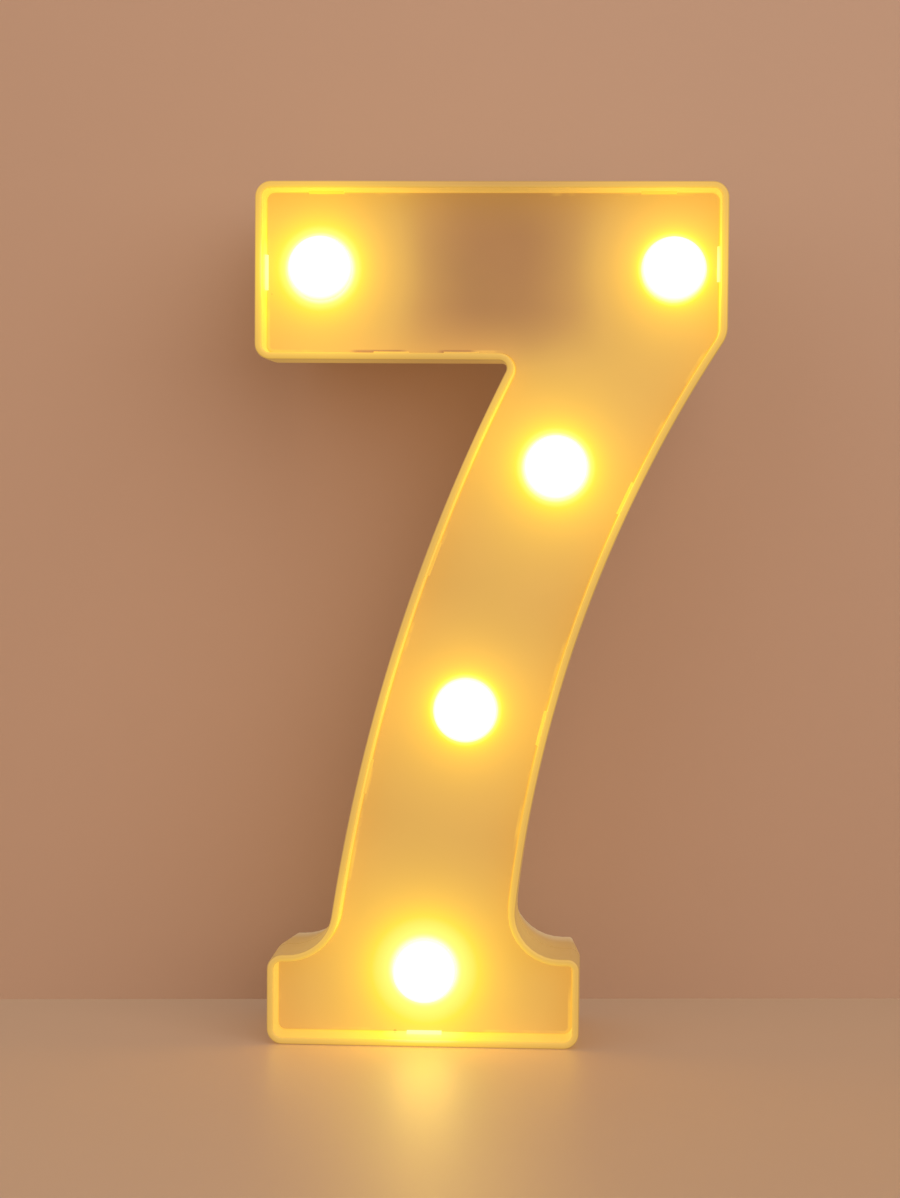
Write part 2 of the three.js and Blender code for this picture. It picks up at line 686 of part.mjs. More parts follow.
// A round trough along X for one cell.
function trough(z) {
  const cylinder = new THREE.CylinderGeometry(troughRadius, troughRadius, bayLength, ROD_SIDES);
  return cylinder.rotateZ(Math.PI / 2).translate(BAY_CENTRE_X, cellY, z);
}

function bayCuts() {
  const upToBack = BACK_Y + CUT_OVERRUN;
  const slotX = FIT_GAP + CONTACT_THICKNESS + FIT_GAP;
  const endSlots = [
    [bayX[0], bayX[0] + slotX],
    [bayX[1] - slotX, bayX[1]],
  ].map((xs) => block(xs, [contactY[0] - FIT_GAP, upToBack], about(bayZ, 2 * contactSlotHalf)));
  const tabSlots = [upperCellZ, lowerCellZ].map((z) =>
    block(
      [bayX[1] - slotX, bayX[1]],
      [bayFrontY - CUT_OVERRUN, contactY[0]],
      about(z, CONTACT_TAB_WIDTH + 2 * FIT_GAP),
    ),
  );
  const hingeSlots = tabXs.map((x) =>
    block(
      about(x, DOOR_TAB_WIDTH + 2 * FIT_GAP),
      [tabUnderY - DOOR_TAB_THICKNESS - 2 * DOOR_TAB_REACH, BACK_INNER_Y],
      [bayZs[1] - CUT_OVERRUN, doorZ[1] + DOOR_TAB_REACH + FIT_GAP],
    ),
  );
  const latchPocket = block(
    about(BAY_CENTRE_X, LATCH_WIDTH + 2 * FIT_GAP),
    [BACK_INNER_Y - LATCH_DEPTH - 2 * FIT_GAP, upToBack],
    [doorZ[0] - LATCH_NOSE - 2 * FIT_GAP, bayZs[0] + CUT_OVERRUN],
  );
  return [
    trough(upperCellZ),
    trough(lowerCellZ),
    block(bayX, [cellY, upToBack], bayZs),
    block(
      [doorX[0] - FIT_GAP, doorX[1] + FIT_GAP],
      [BACK_INNER_Y - FIT_GAP, upToBack],
      [doorZ[0] - FIT_GAP, doorZ[1] + FIT_GAP],
    ),
    rod(FINGER_NOTCH_RADIUS, BACK_Y - FINGER_NOTCH_DEPTH, upToBack, [BAY_CENTRE_X, doorZ[0]]),
    ...endSlots,
    ...tabSlots,
    ...hingeSlots,
    latchPocket,
  ];
}

// The rear shell's draft at a depth: none beside the lip, then growing evenly to the back.
function draftAt(y) {
  return (BACK_DRAFT * (y - DRAFT_START_Y)) / (BACK_Y - DRAFT_START_Y);
}

function rearShell() {
  const backRound = arcPoints(
    [BACK_EDGE_ROUND, BACK_Y - BACK_EDGE_ROUND],
    BACK_EDGE_ROUND,
    Math.PI,
    0.5 * Math.PI,
    ROUND_STEPS,
  );
  const tray = skin(
    [
      [CASE_WALL, BACK_INNER_Y, draftAt(BACK_INNER_Y)],
      [CASE_WALL, DRAFT_START_Y],
      [CASE_WALL, SPLIT_Y + FIT_GAP],
      [0, SPLIT_Y + FIT_GAP],
      [0, DRAFT_START_Y],
      ...backRound.map(([inset, y]) => [inset, y, draftAt(y)]),
    ],
    false,
  );
  const tubeY = BOSS_END_Y + FIT_GAP;
  const wallMiddleY = (BACK_INNER_Y + BACK_Y) / 2;
  const tubes = CASE_SCREWS.map((place) => rod(TUBE_RADIUS, tubeY, wallMiddleY, place));
  const tubeCuts = CASE_SCREWS.flatMap((place) => [
    rod(SCREW_HEAD_RADIUS + FIT_GAP, tubeY + TUBE_SEAT, BACK_Y + CUT_OVERRUN, place),
    rod(SCREW_SHANK_RADIUS + FIT_GAP, tubeY - CUT_OVERRUN, BACK_Y, place, SMALL_ROD_SIDES),
  ]);
  const bayBox = block(
    [bayX[0] - BAY_WALL, bayX[1] + BAY_WALL],
    [bayFrontY, wallMiddleY],
    [bayZs[0] - BAY_WALL, bayZs[1] + BAY_WALL],
  );
  const switchBox = block(
    about(switchX, 2 * switchRecessHalf),
    [switchFloorY, wallMiddleY],
    about(SWITCH_Z, SWITCH_RECESS_HEIGHT + 2 * SWITCH_RIM),
  );
  const switchCuts = [
    block(
      about(switchX, SWITCH_RECESS_LENGTH),
      [switchRecessY, BACK_Y + CUT_OVERRUN],
      about(SWITCH_Z, SWITCH_RECESS_HEIGHT),
    ),
    block(windowX, [switchFloorY - CUT_OVERRUN, BACK_Y], windowZ),
    ...switchScrewXs.map((x) =>
      rod(
        SWITCH_SCREW_RADIUS + FIT_GAP,
        switchFloorY - CUT_OVERRUN,
        switchFloorY + SWITCH_SCREW_LENGTH,
        [x, SWITCH_Z],
        SMALL_ROD_SIDES,
      ),
    ),
  ];
  return shape(tray, {
    add: [...tubes, bayBox, switchBox],
    cut: [...tubeCuts, ...bayCuts(), ...switchCuts, ...KEYHOLES.flatMap(keyhole)],
  });
}

// Battery door: a plate with two hooked tabs at its top edge and a bent latch at its bottom

function batteryDoor() {
  const plate = block(doorX, [BACK_INNER_Y, BACK_Y], doorZ);
  const legZ = [bayZs[1] - FIT_GAP - DOOR_TAB_LEG, bayZs[1] - FIT_GAP];
  const tabY = [tabUnderY - DOOR_TAB_THICKNESS, tabUnderY];
  const plateMiddleY = (BACK_INNER_Y + BACK_Y) / 2;
  const tabs = tabXs.flatMap((x) => [
    block(about(x, DOOR_TAB_WIDTH), [tabY[0], plateMiddleY], legZ),
    block(about(x, DOOR_TAB_WIDTH), tabY, [legZ[0], doorZ[1] + DOOR_TAB_REACH]),
  ]);
  const outerLeaf = [doorZ[0], doorZ[0] + LATCH_LEAF];
  const innerLeaf = [outerLeaf[1] + LATCH_OPENING, outerLeaf[1] + LATCH_OPENING + LATCH_LEAF];
  const latchX = about(BAY_CENTRE_X, LATCH_WIDTH);
  const latchEndY = BACK_INNER_Y - LATCH_DEPTH;
  const nose = new THREE.Shape([
    new THREE.Vector2(0, 0),
    new THREE.Vector2(LATCH_NOSE, 0),
    new THREE.Vector2(0, -2 * LATCH_NOSE),
  ]);
  const noseBar = new THREE.ExtrudeGeometry(nose, { depth: LATCH_WIDTH, bevelEnabled: false });
  const turn = new THREE.Matrix4().makeBasis(
    new THREE.Vector3(0, 0, -1),
    new THREE.Vector3(0, 1, 0),
    new THREE.Vector3(1, 0, 0),
  );
  turn.setPosition(latchX[0], BACK_INNER_Y - FIT_GAP, outerLeaf[0]);
  const slotZ = [outerLeaf[1], outerLeaf[1] + LATCH_SLOT];
  const leafSlot = block(latchX, [BACK_INNER_Y - CUT_OVERRUN, BACK_Y + CUT_OVERRUN], slotZ);
  const sideSlots = [latchX[0] - LATCH_SLOT, latchX[1]].map((x) =>
    block(
      [x, x + LATCH_SLOT],
      [BACK_INNER_Y - CUT_OVERRUN, BACK_Y + CUT_OVERRUN],
      [doorZ[0] - CUT_OVERRUN, slotZ[1]],
    ),
  );
  const grips = Array.from({ length: GRIP_RIB_COUNT }, (_, i) =>
    block(
      about(BAY_CENTRE_X, GRIP_RIB_LENGTH),
      [BACK_Y - GRIP_RIB_DEPTH, BACK_Y + CUT_OVERRUN],
      about(doorZ[0] + GRIP_FROM_EDGE + i * GRIP_RIB_PITCH, GRIP_RIB_WIDTH),
    ),
  );
  const slottedPlate = shape(plate, { add: tabs, cut: [...grips, leafSlot, ...sideSlots] });
  return shape(slottedPlate, {
    add: [
      block(latchX, [latchEndY, BACK_Y], outerLeaf),
      block(latchX, [latchEndY, plateMiddleY], innerLeaf),
      block(latchX, [latchEndY, latchEndY + LATCH_LEAF], [outerLeaf[0], innerLeaf[1]]),
      noseBar.applyMatrix4(turn),
    ],
  });
}

// Bulbs: a frosted cap snapped into the panel, a plug in its neck and the LED in the plug

const domeSeatY = FACE_Y - FIT_GAP;
const domeCentreY = domeSeatY - DOME_SHOULDER;
const neckEndY = FACE_Y + NECK_BEHIND_FACE;
const plugRadius = NECK_RADIUS - NECK_WALL - FIT_GAP;
const webY = [PANEL_BACK_Y - HOLDER_AHEAD_OF_PANEL, PANEL_BACK_Y - HOLDER_AHEAD_OF_PANEL + HOLDER_WEB];
const holderFlangeY = [neckEndY + FIT_GAP, neckEndY + FIT_GAP + HOLDER_FLANGE_THICKNESS];
const ledFlangeY = [webY[1] + FIT_GAP, webY[1] + FIT_GAP + LED_FLANGE_THICKNESS];
const behindHolder = bayFrontY - holderFlangeY[1];
const leadWireY = holderFlangeY[1] + LEAD_WIRE_SHARE * behindHolder;

function domeCap(place) {
  const inner = DOME_RADIUS - DOME_WALL;
  const bore = NECK_RADIUS - NECK_WALL;
  const floorY = domeSeatY - DOME_WALL;
  const floorAngle = Math.asin((floorY - domeCentreY) / inner);
  const ribY = PANEL_BACK_Y + FIT_GAP;
  const outerRound = arcPoints([0, domeCentreY], DOME_RADIUS, -0.5 * Math.PI, 0, DOME_STEPS);
  const innerRound = arcPoints([0, domeCentreY], inner, floorAngle, -0.5 * Math.PI, DOME_STEPS);
  return turned(
    [
      ...outerRound,
      [DOME_RADIUS, domeSeatY],
      [NECK_RADIUS, domeSeatY],
      [NECK_RADIUS, ribY],
      [NECK_RADIUS + SNAP_RIB_PROUD, ribY],
      [NECK_RADIUS, ribY + SNAP_RIB_WIDTH],
      [NECK_RADIUS, neckEndY],
      [bore, neckEndY],
      [bore, floorY],
      ...innerRound,
    ],
    place,
    DOME_SIDES,
  );
}

function ledHolder(place) {
  const bore = LED_RADIUS + LED_FLANGE_PROUD + FIT_GAP;
  const throat = LED_RADIUS + FIT_GAP;
  return turned(
    [
      [throat, webY[0]],
      [plugRadius, webY[0]],
      [plugRadius, holderFlangeY[0]],
      [HOLDER_FLANGE_RADIUS, holderFlangeY[0]],
      [HOLDER_FLANGE_RADIUS, holderFlangeY[1]],
      [bore, holderFlangeY[1]],
      [bore, webY[1]],
      [throat, webY[1]],
      [throat, webY[0]],
    ],
    place,
    SMALL_ROD_SIDES,
  );
}

function leadXs([x]) {
  return [x - LEAD_PITCH / 2, x + LEAD_PITCH / 2];
}

function led(place) {
  const tipY = ledFlangeY[0] - LED_BODY_LENGTH;
  const tip = arcPoints([0, tipY + LED_RADIUS], LED_RADIUS, -0.5 * Math.PI, 0, ROUND_STEPS);
  const flange = LED_RADIUS + LED_FLANGE_PROUD;
  const body = turned(
    [
      ...tip,
      [LED_RADIUS, ledFlangeY[0]],
      [flange, ledFlangeY[0]],
      [flange, ledFlangeY[1]],
      [0, ledFlangeY[1]],
    ],
    place,
    SMALL_ROD_SIDES,
  );
  const leads = leadXs(place).map((x) =>
    block(
      about(x, LEAD_THICKNESS),
      [ledFlangeY[0], leadWireY + WIRE_RADIUS],
      about(place[1], LEAD_THICKNESS),
    ),
  );
  return shape(body, { add: leads });
}

// Wires' places, which the contact tabs share

const wireStandOff = WIRE_RADIUS + FIT_GAP;
const feedY = bayFrontY - wireStandOff;
const acrossY = bayFrontY - WIRE_BEFORE_BAY;

// Cells and contacts

// A cell along X with its positive end at one side.
function cell(negativeX, side, z) {
  const nub = negativeX + side * CELL_LENGTH;
  const shoulderX = nub - side * CELL_NUB_LENGTH;
  const chamfer = side * CELL_EDGE_CHAMFER;
  const inner = CELL_RADIUS - CELL_EDGE_CHAMFER;
  const upright = turned(
    [
      [0, negativeX],
      [inner, negativeX],
      [CELL_RADIUS, negativeX + chamfer],
      [CELL_RADIUS, shoulderX - chamfer],
      [inner, shoulderX],
      [CELL_NUB_RADIUS, shoulderX],
      [CELL_NUB_RADIUS, nub],
      [0, nub],
    ],
    [0, 0],
  );
  return upright.rotateZ(-Math.PI / 2).translate(0, cellY, z);
}

function contactPlate(xs, zs, tabZ) {
  const plate = block(xs, contactY, zs);
  if (tabZ === undefined) return plate;
  const tab = block(xs, [feedY - WIRE_RADIUS, contactY[1]], about(tabZ, CONTACT_TAB_WIDTH));
  return shape(plate, { add: [tab] });
}

// A conical coil spring along X, as one unbroken tube. Its two ends run straight along X.
function coilSpring(name, baseX, side, z) {
  const steps = SPRING_TURNS * CURL_STEPS;
  const wound = SPRING_LENGTH - 2 * SPRING_WIRE;
  const path = [];
  for (let i = 0; i <= steps; i += 1) {
    const share = i / steps;
    const angle = (2 * Math.PI * i) / CURL_STEPS;
    const radius = SPRING_BASE_RADIUS + (SPRING_TIP_RADIUS - SPRING_BASE_RADIUS) * share;
    path.push(
      new THREE.Vector3(
        baseX + side * (SPRING_WIRE + wound * share),
        cellY + radius * Math.cos(angle),
        z + radius * Math.sin(angle),
      ),
    );
  }
  printLeastGap(name, path);
  const lead = new THREE.Vector3(side * SPRING_WIRE, 0, 0);
  const route = [path[0].clone().sub(lead), ...path, path.at(-1).clone().add(lead)];
  return wireTube(route, SPRING_WIRE / 2, CURL_SIDES);
}

// The least gap between one curl and the next, measured on the points of the path.
function printLeastGap(name, path) {
  let least = Infinity;
  for (let i = 0; i < path.length; i += 1) {
    for (let j = i + Math.ceil(CURL_STEPS / 2); j < path.length; j += 1) {
      least = Math.min(least, path[i].distanceTo(path[j]));
    }
  }
  console.log(name + ": least gap to itself " + (least - SPRING_WIRE).toFixed(2) + " mm");
}

// A tube with a ring of points square to each bend of its route.
function wireTube(route, radius, sides) {
  const points = [];
  const triangles = [];
  let normal = new THREE.Vector3(0, 1, 0);
  route.forEach((place, i) => {
    const before = route[Math.max(i - 1, 0)];
    const after = route[Math.min(i + 1, route.length - 1)];
    const tangent = after.clone().sub(before).normalize();
    normal = normal.clone().addScaledVector(tangent, -normal.dot(tangent)).normalize();
    const across = new THREE.Vector3().crossVectors(tangent, normal);
    for (let k = 0; k < sides; k += 1) {
      const angle = (2 * Math.PI * k) / sides;
      points.push(
        place
          .clone()
          .addScaledVector(normal, radius * Math.cos(angle))
          .addScaledVector(across, radius * Math.sin(angle))
          .toArray(),
      );
    }
  });
  const last = (route.length - 1) * sides;
  for (let i = 0; i < route.length - 1; i += 1) {
    for (let k = 0; k < sides; k += 1) {
      const [a, b] = [i * sides + k, i * sides + ((k + 1) % sides)];
      triangles.push(a, b, b + sides, a, b + sides, a + sides);
    }
  }
  for (let k = 1; k < sides - 1; k += 1) {
    triangles.push(0, k + 1, k, last, last + k, last + k + 1);
  }
  return closedGeometry(points, triangles);
}

// Slide switch

function switchCase() {
  const heights = about(SWITCH_Z, SWITCH_CASE_HEIGHT);
  const plate = block(about(switchX, 2 * SWITCH_EAR_REACH), switchPlateY, heights);
  const can = block(about(switchX, SWITCH_CASE_LENGTH), switchCaseY, heights);
  const hollow = block(
    about(switchX, SWITCH_CASE_LENGTH - 2 * SWITCH_METAL),
    [switchCaseY[0] - CUT_OVERRUN, switchCaseY[1]],
    about(SWITCH_Z, SWITCH_CASE_HEIGHT - 2 * SWITCH_METAL),
  );
  const openings = [
    block(windowX, [switchPlateY[0] - CUT_OVERRUN, switchPlateY[1] + CUT_OVERRUN], windowZ),
    ...switchScrewXs.map((x) =>
      rod(
        SWITCH_SCREW_RADIUS + FIT_GAP,
        switchPlateY[0] - CUT_OVERRUN,
        switchPlateY[1] + CUT_OVERRUN,
        [x, SWITCH_Z],
        SMALL_ROD_SIDES,
      ),
    ),
  ];
  return shape(plate, { add: [can], cut: [hollow, ...openings] });
}

const switchPinXs = [-1, 0, 1].map((step) => switchX + step * SWITCH_PIN_PITCH);
const switchBaseY = [switchCaseY[0], switchCaseY[0] + SWITCH_BASE_THICKNESS];

function switchBase() {
  const inside = SWITCH_METAL + FIT_GAP;
  const board = block(
    about(switchX, SWITCH_CASE_LENGTH - 2 * inside),
    switchBaseY,
    about(SWITCH_Z, SWITCH_CASE_HEIGHT - 2 * inside),
  );
  const pins = switchPinXs.map((x) =>
    block(
      about(x, SWITCH_PIN_THICKNESS),
      [switchBaseY[0] - SWITCH_PIN_LENGTH, switchBaseY[1]],
      about(SWITCH_Z, 2 * SWITCH_PIN_THICKNESS),
    ),
  );
  return shape(board, { add: pins });
}

// The knob stands at its ON end, which is towards +X.
function switchKnob() {
  const x = switchX + SWITCH_TRAVEL / 2;
  const shoeY = [switchPlateY[0] - FIT_GAP - SHOE_THICKNESS, switchPlateY[0] - FIT_GAP];
  const topY = BACK_Y - KNOB_BELOW_BACK;
  const stem = block(about(x, KNOB_LENGTH), [shoeY[0], topY], about(SWITCH_Z, KNOB_HEIGHT));
  const shoe = block(about(x, SHOE_LENGTH), shoeY, about(SWITCH_Z, SHOE_HEIGHT));
  const grooves = [-1, 0, 1].map((step) =>
    block(
      about(x + 2 * step * KNOB_GROOVE_WIDTH, KNOB_GROOVE_WIDTH),
      [topY - KNOB_GROOVE_DEPTH, topY + CUT_OVERRUN],
      about(SWITCH_Z, KNOB_HEIGHT + CUT_OVERRUN),
    ),
  );
  return shape(stem, { add: [shoe], cut: grooves });
}

// Screws

// A screw along Y whose head bears at seatY. Its point looks towards -Y, or +Y where facing is 1.
function screw(place, seatY, facing, { radius, headRadius, headHeight, length, point }) {
  const head = seatY - facing * headHeight;
  const end = seatY + facing * length;
  return turned(
    [
      [0, head],
      [headRadius, head],
      [headRadius, seatY],
      [radius, seatY],
      [radius, end - facing * point],
      [0, end],
    ],
    place,
    SMALL_ROD_SIDES,
  );
}

function caseScrew(place) {
  const seatY = BOSS_END_Y + FIT_GAP + TUBE_SEAT + FIT_GAP;
  const floorY = LEDGE_Y + BOSS_BLIND_FLOOR + FIT_GAP;
  const body = screw(place, seatY, -1, {
    radius: SCREW_SHANK_RADIUS,
    headRadius: SCREW_HEAD_RADIUS,
    headHeight: SCREW_HEAD_HEIGHT,
    length: seatY - floorY,
    point: SCREW_POINT_LENGTH,
  });
  const headY = seatY + SCREW_HEAD_HEIGHT;
  const recessY = [headY - SCREW_RECESS_DEPTH, headY + CUT_OVERRUN];
  const [x, z] = place;
  const cross = [
    block(about(x, 2 * SCREW_SHANK_RADIUS), recessY, about(z, SCREW_RECESS_WIDTH)),
    block(about(x, SCREW_RECESS_WIDTH), recessY, about(z, 2 * SCREW_SHANK_RADIUS)),
  ];
  return shape(body, { cut: cross });
}

function switchScrew(x) {
  return screw([x, SWITCH_Z], switchPlateY[0] - FIT_GAP, 1, {
    radius: SWITCH_SCREW_RADIUS,
    headRadius: SWITCH_SCREW_HEAD_RADIUS,
    headHeight: SWITCH_SCREW_HEAD_HEIGHT,
    length: SWITCH_SCREW_LENGTH,
    point: SWITCH_SCREW_RADIUS,
  });
}

// Wires

// A wire through hand-chosen places, smooth from end to end.
function wire(places) {
  const curve = new THREE.CatmullRomCurve3(
    places.map(([x, y, z]) => new THREE.Vector3(x, y, z)),
    false,
    "centripetal",
  );
  return wireTube(curve.getSpacedPoints(WIRE_STEPS), WIRE_RADIUS, WIRE_SIDES);
}

// From the underside of one bulb's lead to the top of the next one's.
function runDown(from, to, pole) {
  const [startX, endX] = [leadXs(from)[pole], leadXs(to)[pole]];
  const [startZ, endZ] = [from[1] - wireStandOff, to[1] + wireStandOff];
  return wire([
    [startX, leadWireY, startZ],
    [startX, leadWireY, startZ - WIRE_TAIL],
    [(startX + endX) / 2 + WIRE_BOW, leadWireY, (startZ + endZ) / 2],
    [endX, leadWireY, endZ + WIRE_TAIL],
    [endX, leadWireY, endZ],
  ]);
}

// Over the top of the arm, from the left bulb's leads to the right bulb's, red outside black.
// It passes in front of the battery bay.
function runAcross(from, to, pole) {
  const [startX, endX] = [leadXs(from)[1 - pole], leadXs(to)[pole]];
  const startZ = from[1] + wireStandOff;
  const topZ = startZ + WIRE_RISE - (1 - pole) * WIRE_STEP;
  return wire([
    [startX, leadWireY, startZ],
    [startX, leadWireY, startZ + WIRE_TAIL],
    [startX + WIRE_RISE, acrossY, topZ],
    [endX - WIRE_RISE, acrossY, topZ],
    [endX, leadWireY, startZ + WIRE_TAIL],
    [endX, leadWireY, startZ],
  ]);
}

const [, armRightBulb, upperStemBulb] = BULBS;
const tabX = rightContactX[1] + wireStandOff;
const pinFrontY = switchBaseY[0] - SWITCH_PIN_LENGTH;
const pinWireY = pinFrontY + WIRE_RADIUS;
const pinStandOff = SWITCH_PIN_THICKNESS + wireStandOff;

// From the upper cell's contact to the black lead of the right bulb.
function negativeFeed() {
  const endX = leadXs(armRightBulb)[0] - wireStandOff;
  return wire([
    [tabX, feedY, upperCellZ],
    [tabX + WIRE_TAIL, feedY, upperCellZ],
    [endX - WIRE_TAIL, leadWireY, armRightBulb[1]],
    [endX, leadWireY, armRightBulb[1]],
  ]);
}

// From the lower cell's contact to the middle pin of the switch.
function positiveFeed() {
  const pinX = switchPinXs[1];
  const pinZ = SWITCH_Z + pinStandOff;
  return wire([
    [tabX, feedY, lowerCellZ],
    [tabX + WIRE_TAIL, feedY, lowerCellZ - WIRE_TAIL],
    [tabX, feedY, (lowerCellZ + pinZ) / 2],
    [pinX, pinWireY, pinZ + WIRE_TAIL],
    [pinX, pinWireY, pinZ],
  ]);
}

// From the outer pin of the switch to the red lead of the upper stem bulb.
function switchedFeed() {
  const pinX = switchPinXs[2];
  const pinZ = SWITCH_Z - pinStandOff;
  const endX = leadXs(upperStemBulb)[1] + wireStandOff;
  const endZ = upperStemBulb[1];
  return wire([
    [pinX, pinWireY, pinZ],
    [pinX, pinWireY, pinZ - WIRE_TAIL],
    [endX + 2 * WIRE_TAIL, leadWireY, endZ + WIRE_TAIL],
    [endX + WIRE_TAIL, leadWireY, endZ],
    [endX, leadWireY, endZ],
  ]);
}

// Finishes, as colour, roughness and metalness

const FINISHES = {
  casing: { color: 0xeadfb8, roughness: 0.55, metalness: 0 },
  panel: { color: 0xe3cf96, roughness: 0.6, metalness: 0 },
  dome: { color: 0xfffbe6, roughness: 0.4, metalness: 0 },
  plug: { color: 0xe6e2d6, roughness: 0.6, metalness: 0 },
  led: { color: 0xfff1c0, roughness: 0.15, metalness: 0 },
  cell: { color: 0x3d4148, roughness: 0.4, metalness: 0.3 },
  contact: { color: 0xb9bab7, roughness: 0.3, metalness: 1 },
  switchFrame: { color: 0xa9aaa6, roughness: 0.35, metalness: 1 },
  board: { color: 0x6b4a2a, roughness: 0.7, metalness: 0 },
  knob: { color: 0x1d1d1f, roughness: 0.5, metalness: 0 },
  screw: { color: 0x9a9a98, roughness: 0.3, metalness: 1 },
  redWire: { color: 0xa5201b, roughness: 0.45, metalness: 0 },
  blackWire: { color: 0x1a1a1c, roughness: 0.45, metalness: 0 },
};

const light = new THREE.Group();

function place(group, name, geometry, finish) {
  const mesh = new THREE.Mesh(geometry, new THREE.MeshStandardMaterial(FINISHES[finish]));
  mesh.name = name;
  group.add(mesh);
}

const casing = new THREE.Group();
place(casing, "front_frame", frontFrame(), "casing");
place(casing, "face_panel", facePanel(), "panel");
place(casing, "rear_shell", rearShell(), "casing");
place(casing, "battery_door", batteryDoor(), "casing");
CASE_SCREWS.forEach((at, i) => place(casing, "case_screw_" + (i + 1), caseScrew(at), "screw"));

const bulbs = new THREE.Group();
BULBS.forEach((at, i) => {
  place(bulbs, "dome_cap_" + (i + 1), domeCap(at), "dome");
  place(bulbs, "led_holder_" + (i + 1), ledHolder(at), "plug");
  place(bulbs, "led_" + (i + 1), led(at), "led");
});

const power = new THREE.Group();
const bothCells = [lowerCellZ - CONTACT_WIDTH / 2, upperCellZ + CONTACT_WIDTH / 2];
const springSeats = { left: leftContactX[1] + FIT_GAP, right: rightContactX[0] - FIT_GAP };
const cellStart = SPRING_LENGTH + FIT_GAP;
place(power, "battery_cell_upper", cell(springSeats.right - cellStart, -1, upperCellZ), "cell");
place(power, "battery_cell_lower", cell(springSeats.left + cellStart, 1, lowerCellZ), "cell");
place(power, "bridge_plate", contactPlate(leftContactX, bothCells), "contact");
place(
  power,
  "negative_plate",
  contactPlate(rightContactX, about(upperCellZ, CONTACT_WIDTH), upperCellZ),
  "contact",
);
place(
  power,
  "positive_plate",
  contactPlate(rightContactX, about(lowerCellZ, CONTACT_WIDTH), lowerCellZ),
  "contact",
);
place(power, "bridge_spring", coilSpring("bridge_spring", springSeats.left, 1, lowerCellZ), "contact");
place(
  power,
  "negative_spring",
  coilSpring("negative_spring", springSeats.right, -1, upperCellZ),
  "contact",
);

const slideSwitch = new THREE.Group();
place(slideSwitch, "switch_case", switchCase(), "switchFrame");
place(slideSwitch, "switch_base", switchBase(), "board");
place(slideSwitch, "switch_knob", switchKnob(), "knob");
switchScrewXs.forEach((x, i) => place(slideSwitch, "switch_screw_" + (i + 1), switchScrew(x), "screw"));

const wiring = new THREE.Group();
["black", "red"].forEach((colour, pole) => {
  const finish = colour + "Wire";
  place(wiring, colour + "_wire_1", runAcross(BULBS[0], BULBS[1], pole), finish);
  BULBS.slice(2).forEach((to, i) => {
    place(wiring, colour + "_wire_" + (i + 2), runDown(BULBS[i + 1], to, pole), finish);
  });
});
place(wiring, "negative_feed", negativeFeed(), "blackWire");
place(wiring, "positive_feed", positiveFeed(), "redWire");
place(wiring, "switched_feed", switchedFeed(), "redWire");

light.add(casing, bulbs, power, slideSwitch, wiring);
export default light;
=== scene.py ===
"""A free-standing marquee light in the shape of the figure 7, dressed for its picture.

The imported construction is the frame. The casing, its panel, the door, the bulb caps, the cells,
the springs and the screws are modelled here with smooth edges and stand for their plain solids.
Every other piece keeps its solid and gets its finish here. Sizes are in millimetres, and a
finished mesh is in metres.
"""

from __future__ import annotations

import logging
import math
from dataclasses import dataclass, field
from enum import Enum
from typing import Iterable, Sequence

import bmesh
import bpy
from mathutils import Matrix, Quaternion, Vector


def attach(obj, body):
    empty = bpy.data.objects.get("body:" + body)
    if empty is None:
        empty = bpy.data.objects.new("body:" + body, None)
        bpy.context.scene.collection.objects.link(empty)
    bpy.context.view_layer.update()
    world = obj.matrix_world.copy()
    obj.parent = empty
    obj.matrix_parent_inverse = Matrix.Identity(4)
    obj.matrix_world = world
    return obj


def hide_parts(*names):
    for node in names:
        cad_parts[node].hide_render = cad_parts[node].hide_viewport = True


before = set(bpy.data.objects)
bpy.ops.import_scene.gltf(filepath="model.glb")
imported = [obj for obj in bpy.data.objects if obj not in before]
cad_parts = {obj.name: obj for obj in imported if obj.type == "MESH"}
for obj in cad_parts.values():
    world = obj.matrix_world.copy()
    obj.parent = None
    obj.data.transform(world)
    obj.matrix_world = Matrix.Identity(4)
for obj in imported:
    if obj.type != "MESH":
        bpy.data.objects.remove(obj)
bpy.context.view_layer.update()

log = logging.getLogger("figure_light")

Socket = bpy.types.NodeSocket
Node = bpy.types.Node
Piece = bpy.types.Object
Vert = bmesh.types.BMVert
Line = bmesh.types.BMEdge

MM = 0.001
# Colour of the dust specks and of the painted shade in grooves and sunk marks
DUST_AND_GROOVE_SHADE = (0.12, 0.06, 0.03, 1.0)
BLACK = (0.0, 0.0, 0.0, 1.0)
SHARP_TURN = math.radians(35)
Place = tuple[float, float]
Colour = tuple[float, float, float]
Level = tuple[float, ...]
Limits = tuple[float, float]
Point = tuple[float, float, float]


class Body(Enum):
    """The bodies that a piece can ride on."""

    CASE = "root"
    DOOR = "door"
    KNOB = "knob"


class Slot(Enum):
    """The record's material slots."""

    CASING = "casing"
    PANEL = "panel"
    DOME = "dome"
    CELL = "cell"
    CONTACT = "contact"
    KNOB = "knob"
    SCREW = "screw"


class Joining(Enum):
    """What a second shape does to a piece."""

    ADD = "UNION"
    CUT = "DIFFERENCE"


class Side(Enum):
    """The sides of the outline that catches sit on, by their place in its order."""

    FOOT_UNDERSIDE = 0
    STEM_RIGHT = 3
    ARM_RIGHT = 4
    ARM_TOP = 5
    ARM_LEFT = 6
    ARM_UNDERSIDE = 7
    STEM_LEFT = 8


def linear(colour: Colour) -> tuple[float, float, float, float]:
    """Turns a screen colour into a linear one.

    Args:
        colour: red, green and blue from 0 to 255, as a screen shows them.

    Returns:
        The same colour as the shaders need it, with an alpha of 1.
    """
    def channel(value: float) -> float:
        """One channel, from 0 to 255, as a linear share."""
        share = value / 255
        return share / 12.92 if share <= 0.04045 else ((share + 0.055) / 1.055) ** 2.4

    red, green, blue = (channel(value) for value in colour)
    return (red, green, blue, 1.0)


